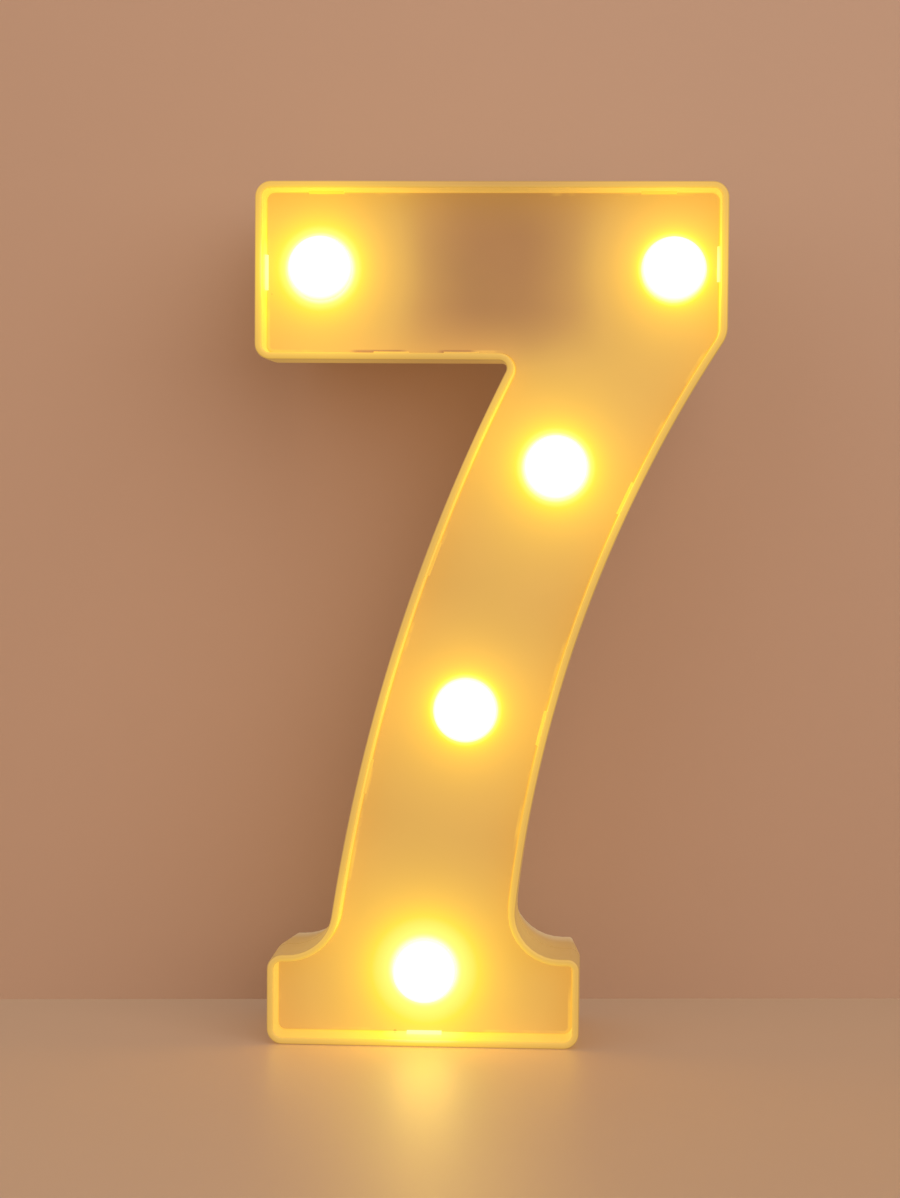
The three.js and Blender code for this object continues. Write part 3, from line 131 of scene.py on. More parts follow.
def about(centre: float, size: float) -> Limits:
    """The two limits of a size about its middle."""
    return (centre - size / 2, centre + size / 2)


def placed(name: str, data: bpy.types.ID) -> Piece:
    """Adds data to the scene as an object.

    Args:
        name: the object's name.
        data: its mesh, curve, lamp or camera.

    Returns:
        The object.
    """
    made = bpy.data.objects.new(name, data)
    bpy.context.scene.collection.objects.link(made)
    return made


# The figure's outline


@dataclass(frozen=True)
class Edge:
    """One straight or round edge of the outline, with the corner at its end.

    A round edge has a centre and a radius. It turns +1 where the figure lies inside its circle
    and -1 where the figure lies outside.
    """

    corner: Place
    corner_radius: float
    bend: int
    start: Place = (0.0, 0.0)
    direction: Place = (1.0, 0.0)
    centre: Place | None = None
    radius: float = 0.0
    turn: int = 1
    drafted: bool = True

    def inset_at(self, inset: float, draft: float) -> float:
        """How far the edge lies inside the outline at an inset and a draft."""
        return inset + (draft if self.drafted else 0.0)


@dataclass(frozen=True)
class Bend:
    """A stretch of the outline that turns about a centre from one place to another."""

    centre: Place
    start: Place
    end: Place
    steps: int

    @property
    def swing(self) -> float:
        """The angle between the ends.

        Returns:
            The angle from start to end, anticlockwise as seen from the front.
        """
        first = math.atan2(self.start[1] - self.centre[1], self.start[0] - self.centre[0])
        last = math.atan2(self.end[1] - self.centre[1], self.end[0] - self.centre[0])
        return math.atan2(math.sin(last - first), math.cos(last - first))


@dataclass(frozen=True)
class Outline:
    """The figure 7 as the front shows it, which can be drawn at any inset from its edge."""

    height: float = 220.0
    arm_width: float = 119.4
    arm_height: float = 45.0
    foot_height: float = 23.2
    foot_left: float = -56.0
    foot_right: float = 24.0
    stem_left_at_foot: float = -40.8
    stem_right_at_foot: float = 6.5
    stem_left_at_arm: float = 5.5
    shoulder_drop: float = 38.6
    stem_left_radius: float = 460.0
    stem_right_radius: float = 329.6
    foot_corner: float = 4.0
    foot_top_corner: float = 3.0
    foot_fillet: float = 11.5
    shoulder_round: float = 8.0
    arm_corner: float = 4.0
    notch_round: float = 2.0
    least_round: float = 0.3
    corner_steps: int = 10
    stem_steps: int = 44

    @property
    def arm_underside(self) -> float:
        """The height of the arm's underside."""
        return self.height - self.arm_height

    def edges(self) -> list[Edge]:
        """The edges in order, anticlockwise from the front.

        Returns:
            One Edge per side, each with the corner at its end.
        """
        half = self.arm_width / 2
        shoulder = (half, self.height - self.shoulder_drop)
        notch = (self.stem_left_at_arm, self.arm_underside)
        foot_left = (self.stem_left_at_foot, self.foot_height)
        foot_right = (self.stem_right_at_foot, self.foot_height)
        left_centre = self.arc_centre(notch, foot_left, self.stem_left_radius)
        left_side = {"centre": left_centre, "radius": self.stem_left_radius, "turn": 1}
        right_centre = self.arc_centre(foot_right, shoulder, self.stem_right_radius)
        right_side = {"centre": right_centre, "radius": self.stem_right_radius, "turn": -1}
        right, up, left, down = (1.0, 0.0), (0.0, 1.0), (-1.0, 0.0), (0.0, -1.0)
        top_right = (self.foot_right, self.foot_height)
        top_left = (self.foot_left, self.foot_height)
        return [
            Edge((self.foot_right, 0.0), self.foot_corner, 1, (0.0, 0.0), right, drafted=False),
            Edge(top_right, self.foot_top_corner, 1, (self.foot_right, 0.0), up),
            Edge(foot_right, self.foot_fillet, -1, top_right, left),
            Edge(shoulder, self.shoulder_round, 1, **right_side),
            Edge((half, self.height), self.arm_corner, 1, shoulder, up),
            Edge((-half, self.height), self.arm_corner, 1, (half, self.height), left),
            Edge((-half, self.arm_underside), self.arm_corner, 1, (-half, self.height), down),
            Edge(notch, self.notch_round, -1, (-half, self.arm_underside), right),
            Edge(foot_left, self.foot_fillet, -1, **left_side),
            Edge(top_left, self.foot_corner, 1, foot_left, left),
            Edge((self.foot_left, 0.0), self.foot_corner, 1, top_left, down),
        ]

    @staticmethod
    def arc_centre(start: Place, end: Place, radius: float) -> Place:
        """The centre of a round edge, which lies to the right of the figure.

        Args:
            start: where the edge starts.
            end: where it ends.
            radius: its radius.

        Returns:
            The centre as (x, z).
        """
        chord = Vector(end) - Vector(start)
        half = chord.length / 2
        reach = math.sqrt(radius * radius - half * half) / chord.length
        side = 1 if chord.y > 0 else -1
        middle = (Vector(start) + Vector(end)) / 2
        return (middle.x + side * chord.y * reach, middle.y - side * chord.x * reach)

    @staticmethod
    def foot_on(edge: Edge, inset: float, place: Place) -> Place:
        """The point of an inset edge that is nearest to a place.

        Args:
            edge: the edge.
            inset: how far it has moved into the figure.
            place: the place to start from.

        Returns:
            The nearest point as (x, z).
        """
        if edge.centre is None:
            along = Vector(edge.direction)
            start = Vector(edge.start) + Vector((-along.y, along.x)) * inset
            foot = start + along * (Vector(place) - start).dot(along)
            return (foot.x, foot.y)
        centre = Vector(edge.centre)
        out = (Vector(place) - centre).normalized() * (edge.radius - edge.turn * inset)
        return (centre.x + out.x, centre.y + out.y)

    def corner_centre(self, edge: Edge, following: Edge, inset: float, draft: float = 0.0) -> Place:
        """The centre of the round corner between two edges.

        Args:
            edge: the edge before the corner.
            following: the edge after it.
            inset: how far both have moved into the figure.
            draft: how much further the drafted ones have moved.

        Returns:
            The place that lies on both edges, moved to where the corner's centre runs.
        """
        radius = max(edge.corner_radius - edge.bend * (inset + draft), self.least_round)
        flat, other = (edge, following) if edge.centre is None else (following, edge)
        along = Vector(flat.direction)
        depth = flat.inset_at(inset, draft) + edge.bend * radius
        start = Vector(flat.start) + Vector((-along.y, along.x)) * depth
        depth = other.inset_at(inset, draft) + edge.bend * radius
        if other.centre is None:
            second = Vector(other.direction)
            offset = Vector(other.start) + Vector((-second.y, second.x)) * depth - start
            across = along.x * second.y - along.y * second.x
            place = start + along * ((offset.x * second.y - offset.y * second.x) / across)
            return (place.x, place.y)
        round_radius = other.radius - other.turn * depth
        offset = start - Vector(other.centre)
        to_foot = -offset.dot(along)
        away = (offset + along * to_foot).length
        half = math.sqrt(round_radius**2 - away**2)
        found = [start + along * (to_foot + side * half) for side in (-1, 1)]
        place = min(found, key=lambda point: (point - Vector(edge.corner)).length)
        return (place.x, place.y)

    def bends(self, inset: float, draft: float = 0.0) -> list[Bend]:
        """The turning stretches of the outline at an inset, in order.

        Args:
            inset: the distance into the figure from its edge.
            draft: how much further in the drafted edges lie.

        Returns:
            A Bend for each corner and each side of the stem. Straight lines join them.
        """
        edges = self.edges()
        corners = []
        for edge, following in zip(edges, edges[1:] + edges[:1]):
            centre = self.corner_centre(edge, following, inset, draft)
            start = self.foot_on(edge, edge.inset_at(inset, draft), centre)
            end = self.foot_on(following, following.inset_at(inset, draft), centre)
            corners.append(Bend(centre, start, end, self.corner_steps))
        found = []
        for index, edge in enumerate(edges):
            if edge.centre is not None:
                before = corners[index - 1].end
                found.append(Bend(edge.centre, before, corners[index].start, self.stem_steps))
            found.append(corners[index])
        return found

    def trace(
        self, mesh: bmesh.types.BMesh, inset: float, y: float, draft: float = 0.0
    ) -> list[Line]:
        """Draws the outline at an inset as one closed loop.

        Args:
            mesh: the mesh to draw in.
            inset: the distance into the figure from its edge.
            y: the depth at which the loop lies.
            draft: how much further in the drafted edges lie.

        Returns:
            The edges of the loop.
        """
        loop: list[Line] = []
        first = last = None
        for bend in self.bends(inset, draft):
            start = mesh.verts.new((bend.start[0], y, bend.start[1]))
            if last is None:
                first = start
            elif (last.co - start.co).length > 1e-4:
                loop.append(mesh.edges.new((last, start)))
            else:
                mesh.verts.remove(start)
                start = last
            before = set(mesh.edges)
            turned = bmesh.ops.spin(
                mesh,
                geom=[start],
                cent=(bend.centre[0], y, bend.centre[1]),
                axis=(0, -1, 0),
                angle=bend.swing,
                steps=bend.steps,
            )
            loop.extend(edge for edge in mesh.edges if edge not in before)
            last = next(g for g in turned["geom_last"] if isinstance(g, Vert))
        loop.append(mesh.edges.new((last, first)))
        return loop

    def middle_at(self, z: float) -> float:
        """The middle of the stem at a height.

        Args:
            z: the height.

        Returns:
            The x of the middle.
        """
        sides = []
        for edge in self.edges():
            if edge.centre is not None:
                drop = z - edge.centre[1]
                sides.append(edge.centre[0] - math.sqrt(edge.radius**2 - drop**2))
        return sum(sides) / 2

    def along(self, side: Side, share: float, inset: float) -> tuple[Place, Place]:
        """A place on one side of the outline.

        Args:
            side: the side.
            share: how far along it, from 0 to 1.
            inset: the distance into the figure from its edge.

        Returns:
            The place, and the direction of the side there.
        """
        edges = self.edges()
        edge = edges[side.value]
        before = self.corner_centre(edges[side.value - 1], edge, inset)
        after = self.corner_centre(edge, edges[(side.value + 1) % len(edges)], inset)
        start = Vector(self.foot_on(edge, inset, before))
        end = Vector(self.foot_on(edge, inset, after))
        middle = start.lerp(end, share)
        if edge.centre is None:
            return ((middle.x, middle.y), edge.direction)
        place = Vector(self.foot_on(edge, inset, (middle.x, middle.y)))
        out = (place - Vector(edge.centre)).normalized() * edge.turn
        return ((place.x, place.y), (-out.y, out.x))


CATCHES: tuple[tuple[Side, float], ...] = (
    (Side.ARM_TOP, 0.12),
    (Side.ARM_TOP, 0.88),
    (Side.ARM_LEFT, 0.5),
    (Side.ARM_RIGHT, 0.5),
    (Side.ARM_UNDERSIDE, 0.52),
    (Side.ARM_UNDERSIDE, 0.83),
    (Side.STEM_RIGHT, 0.3),
    (Side.STEM_RIGHT, 0.7),
    (Side.STEM_LEFT, 0.35),
    (Side.STEM_LEFT, 0.75),
    (Side.FOOT_UNDERSIDE, 0.5),
)


# Places that the pieces share, in millimetres


@dataclass(frozen=True)
class Layout:
    """Depths and places that more than one sub-assembly uses. The front faces -Y."""

    outline: Outline = field(default_factory=Outline)
    front: float = -22.5
    back: float = 22.5
    split: float = -6.5
    face: float = -13.5
    wall: float = 1.8
    back_wall: float = 2.0
    panel_thickness: float = 1.8
    gap: float = 0.3
    draft: float = 2.1
    draft_start: float = -2.7
    screw_inset: float = 6.5
    foot_screw_z: float = 5.6
    cell_y: float = 12.75
    cell_spacing: float = 15.2
    bay_x: Limits = (-28.2, 30.2)
    bay_z: Limits = (182.2, 212.8)
    switch_z: float = 163.0
    left_bulb_inset: float = 15.8
    right_bulb_inset: float = 13.4
    arm_bulb_drop: float = 21.4
    stem_bulb_shares: Limits = (0.823, 0.412)
    foot_bulb_z: float = 18.1
    stem_screw_share: float = 0.627

    @property
    def back_inner(self) -> float:
        """The inside of the back wall."""
        return self.back - self.back_wall

    def draft_at(self, y: float) -> float:
        """The rear shell's draft at a depth, which grows evenly from the lip to the back."""
        return self.draft * (y - self.draft_start) / (self.back - self.draft_start)

    @property
    def bulbs(self) -> list[Place]:
        """The middles of the five bulbs.

        Returns:
            The places as (x, z).
        """
        shape = self.outline
        stem = shape.arm_underside - shape.foot_height
        half = shape.arm_width / 2
        arm_z = shape.height - self.arm_bulb_drop
        heights = [shape.foot_height + stem * share for share in self.stem_bulb_shares]
        return [
            (self.left_bulb_inset - half, arm_z),
            (half - self.right_bulb_inset, arm_z),
            *[(shape.middle_at(z), z) for z in heights],
            ((shape.foot_left + shape.foot_right) / 2, self.foot_bulb_z),
        ]

    @property
    def screws(self) -> list[Place]:
        """The middles of the case screws.

        Returns:
            The places as (x, z).
        """
        shape, inset = self.outline, self.screw_inset
        half = shape.arm_width / 2
        stem = shape.arm_underside - shape.foot_height
        stem_z = shape.foot_height + stem * self.stem_screw_share
        left = next(edge for edge in shape.edges() if edge.centre is not None and edge.turn == 1)
        reach = math.sqrt((left.radius - inset) ** 2 - (stem_z - left.centre[1]) ** 2)
        return [
            (inset - half, shape.height - inset),
            (half - inset, shape.height - inset),
            (inset - half, shape.arm_underside + inset),
            (left.centre[0] - reach, stem_z),
            (shape.foot_left + inset, self.foot_screw_z),
            (shape.foot_right - inset, self.foot_screw_z),
        ]

    @property
    def bay_middle(self) -> Place:
        """The middle of the battery bay, as (x, z)."""
        return (sum(self.bay_x) / 2, sum(self.bay_z) / 2)

    @property
    def switch_x(self) -> float:
        """The x of the switch, in the middle of the stem."""
        return self.outline.middle_at(self.switch_z)


# Shader groups


class Sketch:
    """A node tree that is being drawn, with short ways to add nodes and constants."""

    def __init__(self, tree: bpy.types.NodeTree) -> None:
        """Starts on a tree.

        Args:
            tree: a material's, a world's or a group's node tree.
        """
        self.tree = tree

    def node(self, kind: str, **settings: object) -> Node:
        """Adds a node.

        Args:
            kind: the node's type, without its ShaderNode start.
            settings: its properties by name.

        Returns:
            The new node.
        """
        made = self.tree.nodes.new("ShaderNode" + kind)
        for name, value in settings.items():
            setattr(made, name, value)
        return made

    def join(self, source: Socket, target: Socket) -> None:
        """Links an output to an input."""
        self.tree.links.new(source, target)

    def feed(self, socket: Socket, value: object) -> None:
        """Gives an input a link or a constant.

        Args:
            socket: the input.
            value: an output socket to link, or a number, colour or vector to set.
        """
        if isinstance(value, Socket):
            self.join(value, socket)
        else:
            socket.default_value = value

    def maths(self, operation: str, *values: object, clamp: bool = False) -> Socket:
        """Adds a maths node.

        Args:
            operation: the maths node's operation.
            values: its inputs, as sockets or numbers.
            clamp: whether the result stays between 0 and 1.

        Returns:
            Its output.
        """
        made = self.node("Math", operation=operation, use_clamp=clamp)
        for socket, value in zip(made.inputs, values):
            self.feed(socket, value)
        return made.outputs[0]

    def times(self, first: object, second: object) -> Socket:
        """The product of two values."""
        return self.maths("MULTIPLY", first, second)

    def less(self, first: object, second: object) -> Socket:
        """What is left of the first value without the second."""
        return self.maths("SUBTRACT", first, second)

    def blend(self, share: Socket, first: Node, second: Node, sink: Node) -> None:
        """Mixes two shaders and joins them to an output.

        Args:
            share: the share of the second shader.
            first: the first shader.
            second: the second shader.
            sink: the output.
        """
        made = self.node("MixShader")
        for socket, source in zip(made.inputs, (share, first.outputs[0], second.outputs[0])):
            self.join(source, socket)
        self.join(made.outputs[0], sink.inputs["Surface"])

    def fill(self, node: Node, values: dict[str, object]) -> None:
        """Feeds a node.

        Args:
            node: the node.
            values: links or constants by input, with underscores for spaces.
        """
        for name, value in values.items():
            self.feed(node.inputs[name.replace("_", " ")], value)

    def ease(self, value: Socket, start: float, end: float) -> Socket:
        """A smooth step of a value.

        Args:
            value: the value.
            start: where the step is 0.
            end: where it is 1.

        Returns:
            The step.
        """
        made = self.node("MapRange", interpolation_type="SMOOTHSTEP")
        self.fill(made, {"Value": value, "From Min": start, "From Max": end})
        return made.outputs["Result"]

    def axes(self, vector: Socket) -> tuple[Socket, ...]:
        """Takes a vector apart.

        Args:
            vector: the vector.

        Returns:
            Its X, Y and Z.
        """
        made = self.node("SeparateXYZ")
        self.join(vector, made.inputs[0])
        return tuple(made.outputs)

    def off(self, value: Socket, middle: float) -> Socket:
        """How far a value lies from a middle, on either side."""
        return self.maths("ABSOLUTE", self.less(value, middle))

    def attribute(self, name: str) -> Socket:
        """The value of a vertex attribute."""
        return self.node("Attribute", attribute_name=name).outputs["Fac"]

    def noise(self, vector: Socket, scale: object, detail: float = 3.0, rough: float = 0.5) -> Socket:
        """Adds a noise texture.

        Args:
            vector: the coordinates.
            scale: its scale, as a socket or a number.
            detail: its octaves.
            rough: how strong the finer octaves are.

        Returns:
            Its grey value.
        """
        made = self.node("TexNoise")
        self.fill(made, {"Vector": vector, "Scale": scale, "Detail": detail, "Roughness": rough})
        return made.outputs[0]

    def mix(self, share: object, first: object, second: object, blend: str = "MIX") -> Socket:
        """Mixes two colours.

        Args:
            share: how much of the second.
            first: a colour socket or a linear colour.
            second: the same.
            blend: the blend type.

        Returns:
            The mixed colour.
        """
        made = self.node("Mix", data_type="RGBA", blend_type=blend)
        self.fill(made, {"Factor": share, "A": first, "B": second})
        return made.outputs["Result"]


class Canvas(Sketch):
    """A material that is being painted, with its shader and the Object coordinates."""

    def __init__(self, tree: bpy.types.NodeTree) -> None:
        """Clears a tree and gives it a shader.

        Args:
            tree: the material's node tree.
        """
        super().__init__(tree)
        tree.nodes.clear()
        self.shader = self.node("BsdfPrincipled")
        self.sink = self.node("OutputMaterial")
        self.join(self.shader.outputs["BSDF"], self.sink.inputs["Surface"])
        self.where = self.node("TexCoord").outputs["Object"]

    def coat(self, **values: object) -> None:
        """Feeds the shader, as fill does."""
        self.fill(self.shader, values)

    def bump(self, height: Socket, strength: float, depth: float) -> None:
        """Raises the surface by a height.

        Args:
            height: the height from 0 to 1.
            strength: how strong the relief is.
            depth: its depth in millimetres.
        """
        relief = self.node("Bump")
        self.fill(relief, {"Strength": strength, "Distance": depth * MM, "Height": height})
        self.coat(Normal=relief.outputs["Normal"])


class SharedGroup:
    """A shader node group that is built once and placed in many materials."""

    name = "shared group"
    inputs: dict[str, float | None] = {}
    outputs: tuple[str, ...] = ()

    def draw(self, sketch: Sketch, source: Node, sink: Node) -> None:
        """Draws the inside of the group.

        Args:
            sketch: the group's tree.
            source: its Group Input.
            sink: its Group Output.
        """
        raise NotImplementedError

    def tree(self) -> bpy.types.NodeTree:
        """The group's tree, built at its first use.

        Returns:
            The node tree.
        """
        found = bpy.data.node_groups.get(self.name)
        if found is not None:
            return found
        made = bpy.data.node_groups.new(self.name, "ShaderNodeTree")
        for name, value in self.inputs.items():
            kind = "NodeSocketVector" if value is None else "NodeSocketFloat"
            socket = made.interface.new_socket(name, in_out="INPUT", socket_type=kind)
            if value is not None:
                socket.default_value = value
        for name in self.outputs:
            made.interface.new_socket(name, in_out="OUTPUT", socket_type="NodeSocketFloat")
        sketch = Sketch(made)
        self.draw(sketch, made.nodes.new("NodeGroupInput"), made.nodes.new("NodeGroupOutput"))
        return made

    def on(self, canvas: Canvas, **values: object) -> Node:
        """Places the group in a material, in the material's own coordinates.

        Args:
            canvas: the material.
            values: its other inputs by name, with underscores for spaces.

        Returns:
            The group node.
        """
        made = canvas.node("Group", node_tree=self.tree())
        canvas.fill(made, {"Vector": canvas.where, **values})
        return made


class BulbGlow(SharedGroup):
    """Light from the five bulbs in the plastic, with the soft shade of the battery bay.

    Glow is 0 where none arrives and about 1 at a bulb. It depends on the distance to each bulb.
    """

    name = "bulb glow"
    inputs = {
        "Vector": None,
        "Level": 0.22,
        "Gain": 0.62,
        "Reach": 0.007,
        "Bay Shade": 0.22,
        "Unevenness": 0.05,
        "Peak": 0.72,
    }
    outputs = ("Glow",)
    layout = Layout()
    bulb_y = -14.0
    cap_radius = 8.3
    strengths = (1.15, 0.78, 1.02, 0.80, 1.6)
    most_share = 1.2
    halo_gain = 0.28
    halo_reach = 0.9
    peak_softness = 0.22
    blotch_scale = 28.0
    bay_aside = (42.0, 4.0)
    bay_bottom = (168.0, 190.0)
    bay_top = (232.0, 204.0)

    def draw(self, sketch: Sketch, source: Node, sink: Node) -> None:
        """Adds up the bulbs, takes the bay off and makes the sum a little uneven.

        Args:
            sketch: the group's tree.
            source: its Group Input.
            sink: its Group Output.
        """
        given = source.outputs
        total: object = given["Level"]
        halo: object = 0.0
        for (x, z), strength in zip(self.layout.bulbs, self.strengths):
            gap = sketch.node("VectorMath", operation="DISTANCE")
            sketch.join(given["Vector"], gap.inputs[0])
            gap.inputs[1].default_value = (x * MM, self.bulb_y * MM, z * MM)
            past_cap = sketch.less(gap.outputs["Value"], self.cap_radius * MM)
            share = sketch.maths("DIVIDE", past_cap, given["Reach"])
            falling = sketch.maths("EXPONENT", sketch.times(share, -1.0))
            bulb = sketch.times(sketch.maths("MINIMUM", falling, self.most_share), strength)
            total = sketch.maths("MULTIPLY_ADD", bulb, given["Gain"], total)
            close = sketch.maths("DIVIDE", past_cap, -self.halo_reach * MM)
            ring = sketch.maths("MINIMUM", sketch.maths("EXPONENT", close), 1.0)
            halo = sketch.maths("MULTIPLY_ADD", ring, self.halo_gain, halo)
        area = self.bay_area(sketch, given["Vector"])
        shaded = sketch.less(total, sketch.times(area, given["Bay Shade"]))
        blotch = sketch.less(sketch.noise(given["Vector"], self.blotch_scale, 2.0), 0.5)
        whole = sketch.maths("ADD", shaded, sketch.times(blotch, given["Unevenness"]))
        lit = sketch.maths("SMOOTH_MIN", whole, given["Peak"], self.peak_softness)
        sketch.fill(sink, {"Glow": sketch.maths("ADD", lit, halo, clamp=True)})

    def bay_area(self, sketch: Sketch, where: Socket) -> Socket:
        """The soft-edged area in front of the battery bay.

        Args:
            sketch: the group's tree.
            where: the place in metres.

        Returns:
            1 in the middle of the area and 0 outside it.
        """
        x, _, z = sketch.axes(where)
        aside = sketch.off(x, self.layout.bay_middle[0] * MM)
        steps = ((aside, self.bay_aside), (z, self.bay_bottom), (z, self.bay_top))
        area: object = 1.0
        for value, (start, end) in steps:
            area = sketch.times(sketch.ease(value, start * MM, end * MM), area)
        return area


class MouldedSkin(SharedGroup):
    """The skin of moulded plastic: fine spark texture, slow waviness and faint flow lines."""

    name = "moulded skin"
    inputs = {
        "Vector": None,
        "Grain Scale": 2600.0,
        "Grain": 0.5,
        "Waviness": 0.4,
        "Roughness": 0.45,
        "Spread": 0.12,
    }
    outputs = ("Height", "Roughness", "Tone")
    wave_scale = 55.0
    flow_scale = 16.0
    flow_distortion = 9.0
    flow_share = 0.35
    patch_scale = 140.0

    def draw(self, sketch: Sketch, source: Node, sink: Node) -> None:
        """Puts the fine and slow unevenness together.

        Args:
            sketch: the group's tree.
            source: its Group Input.
            sink: its Group Output.
        """
        vector = source.outputs["Vector"]
        fine = sketch.noise(vector, source.outputs["Grain Scale"], 2.0)
        slow = sketch.noise(vector, self.wave_scale, 3.0)
        flow = sketch.node("TexWave", wave_type="BANDS", bands_direction="DIAGONAL")
        bands = {"Scale": self.flow_scale, "Distortion": self.flow_distortion, "Detail": 3.0}
        sketch.fill(flow, {"Vector": vector, **bands})
        grained = sketch.times(fine, source.outputs["Grain"])
        height = sketch.maths("MULTIPLY_ADD", slow, source.outputs["Waviness"], grained)
        patchy = sketch.less(sketch.noise(vector, self.patch_scale, 4.0, 0.6), 0.5)
        base = source.outputs["Roughness"]
        rough = sketch.maths("MULTIPLY_ADD", patchy, source.outputs["Spread"], base)
        flowing = sketch.times(flow.outputs["Fac"], self.flow_share)
        tone = sketch.maths("MULTIPLY_ADD", slow, 1.0 - self.flow_share, flowing)
        sketch.fill(sink, {"Height": height, "Roughness": rough, "Tone": tone})


class DustSpecks(SharedGroup):
    """Scattered dark specks and hairs of dust, as a mask."""

    name = "dust specks"
    inputs = {"Vector": None, "Spacing": 90.0, "Size": 0.04, "Rarity": 0.86}
    outputs = ("Mask",)

    def draw(self, sketch: Sketch, source: Node, sink: Node) -> None:
        """Keeps the middles of a few cells.

        Args:
            sketch: the group's tree.
            source: its Group Input.
            sink: its Group Output.
        """
        cells = sketch.node("TexVoronoi", feature="F1")
        given = source.outputs
        sketch.fill(cells, {"Vector": given["Vector"], "Scale": given["Spacing"]})
        inside = sketch.maths("LESS_THAN", cells.outputs["Distance"], given["Size"])
        chance = sketch.node("SeparateColor")
        sketch.join(cells.outputs["Color"], chance.inputs[0])
        kept = sketch.maths("GREATER_THAN", chance.outputs[0], given["Rarity"])
        sketch.join(sketch.times(inside, kept), sink.inputs["Mask"])


class RolledMetal(SharedGroup):
    """Rolled or drawn metal: fine lines along one axis and a few dull patches."""

    name = "rolled metal"
    inputs = {"Vector": None, "Lines": 900.0, "Roughness": 0.28, "Dulling": 0.2}
    outputs = ("Height", "Roughness", "Tone")
    stretching = (0.08, 1.0, 1.0)
    patch_scale = 260.0
    line_share = 0.3

    def draw(self, sketch: Sketch, source: Node, sink: Node) -> None:
        """Stretches a noise into lines and adds patches.

        Args:
            sketch: the group's tree.
            source: its Group Input.
            sink: its Group Output.
        """
        given = source.outputs
        stretch = sketch.node("Mapping")
        sketch.fill(stretch, {"Vector": given["Vector"], "Scale": self.stretching})
        lines = sketch.noise(stretch.outputs["Vector"], given["Lines"], 3.0)
        patches = sketch.noise(given["Vector"], self.patch_scale, 4.0, 0.6)
        dull = sketch.times(patches, given["Dulling"])
        rough = sketch.maths("ADD", given["Roughness"], dull)
        patched = sketch.times(patches, 1.0 - self.line_share)
        tone = sketch.maths("MULTIPLY_ADD", lines, self.line_share, patched)
        sketch.fill(sink, {"Height": lines, "Roughness": rough, "Tone": tone})


# Finishes


@dataclass(frozen=True)
class Finish:
    """A material by name. Each kind of finish paints its own nodes."""

    name: str

    def material(self) -> bpy.types.Material:
        """The material, built at its first use.

        Returns:
            The material with its nodes.
        """
        found = bpy.data.materials.get(self.name)
        if found is not None:
            return found
        made = bpy.data.materials.new(self.name)
        made.use_nodes = True
        self.paint(Canvas(made.node_tree))
        return made

    def paint(self, canvas: Canvas) -> None:
        """Feeds the shader.

        Args:
            canvas: the material.
        """
        raise NotImplementedError


GLOW_STOPS: tuple[tuple[float, Colour], ...] = (
    (0.0, (171, 128, 82)),
    (0.12, (198, 153, 88)),
    (0.23, (223, 177, 92)),
    (0.45, (249, 201, 90)),
    (0.65, (253, 226, 82)),
    (0.80, (253, 245, 130)),
    (1.0, (255, 255, 215)),
)


@dataclass(frozen=True)
class Shine:
    """How much of the bulbs' light reaches a zone of the plastic. The reach is in millimetres."""

    level: float
    gain: float
    reach: float
    bay_shade: float


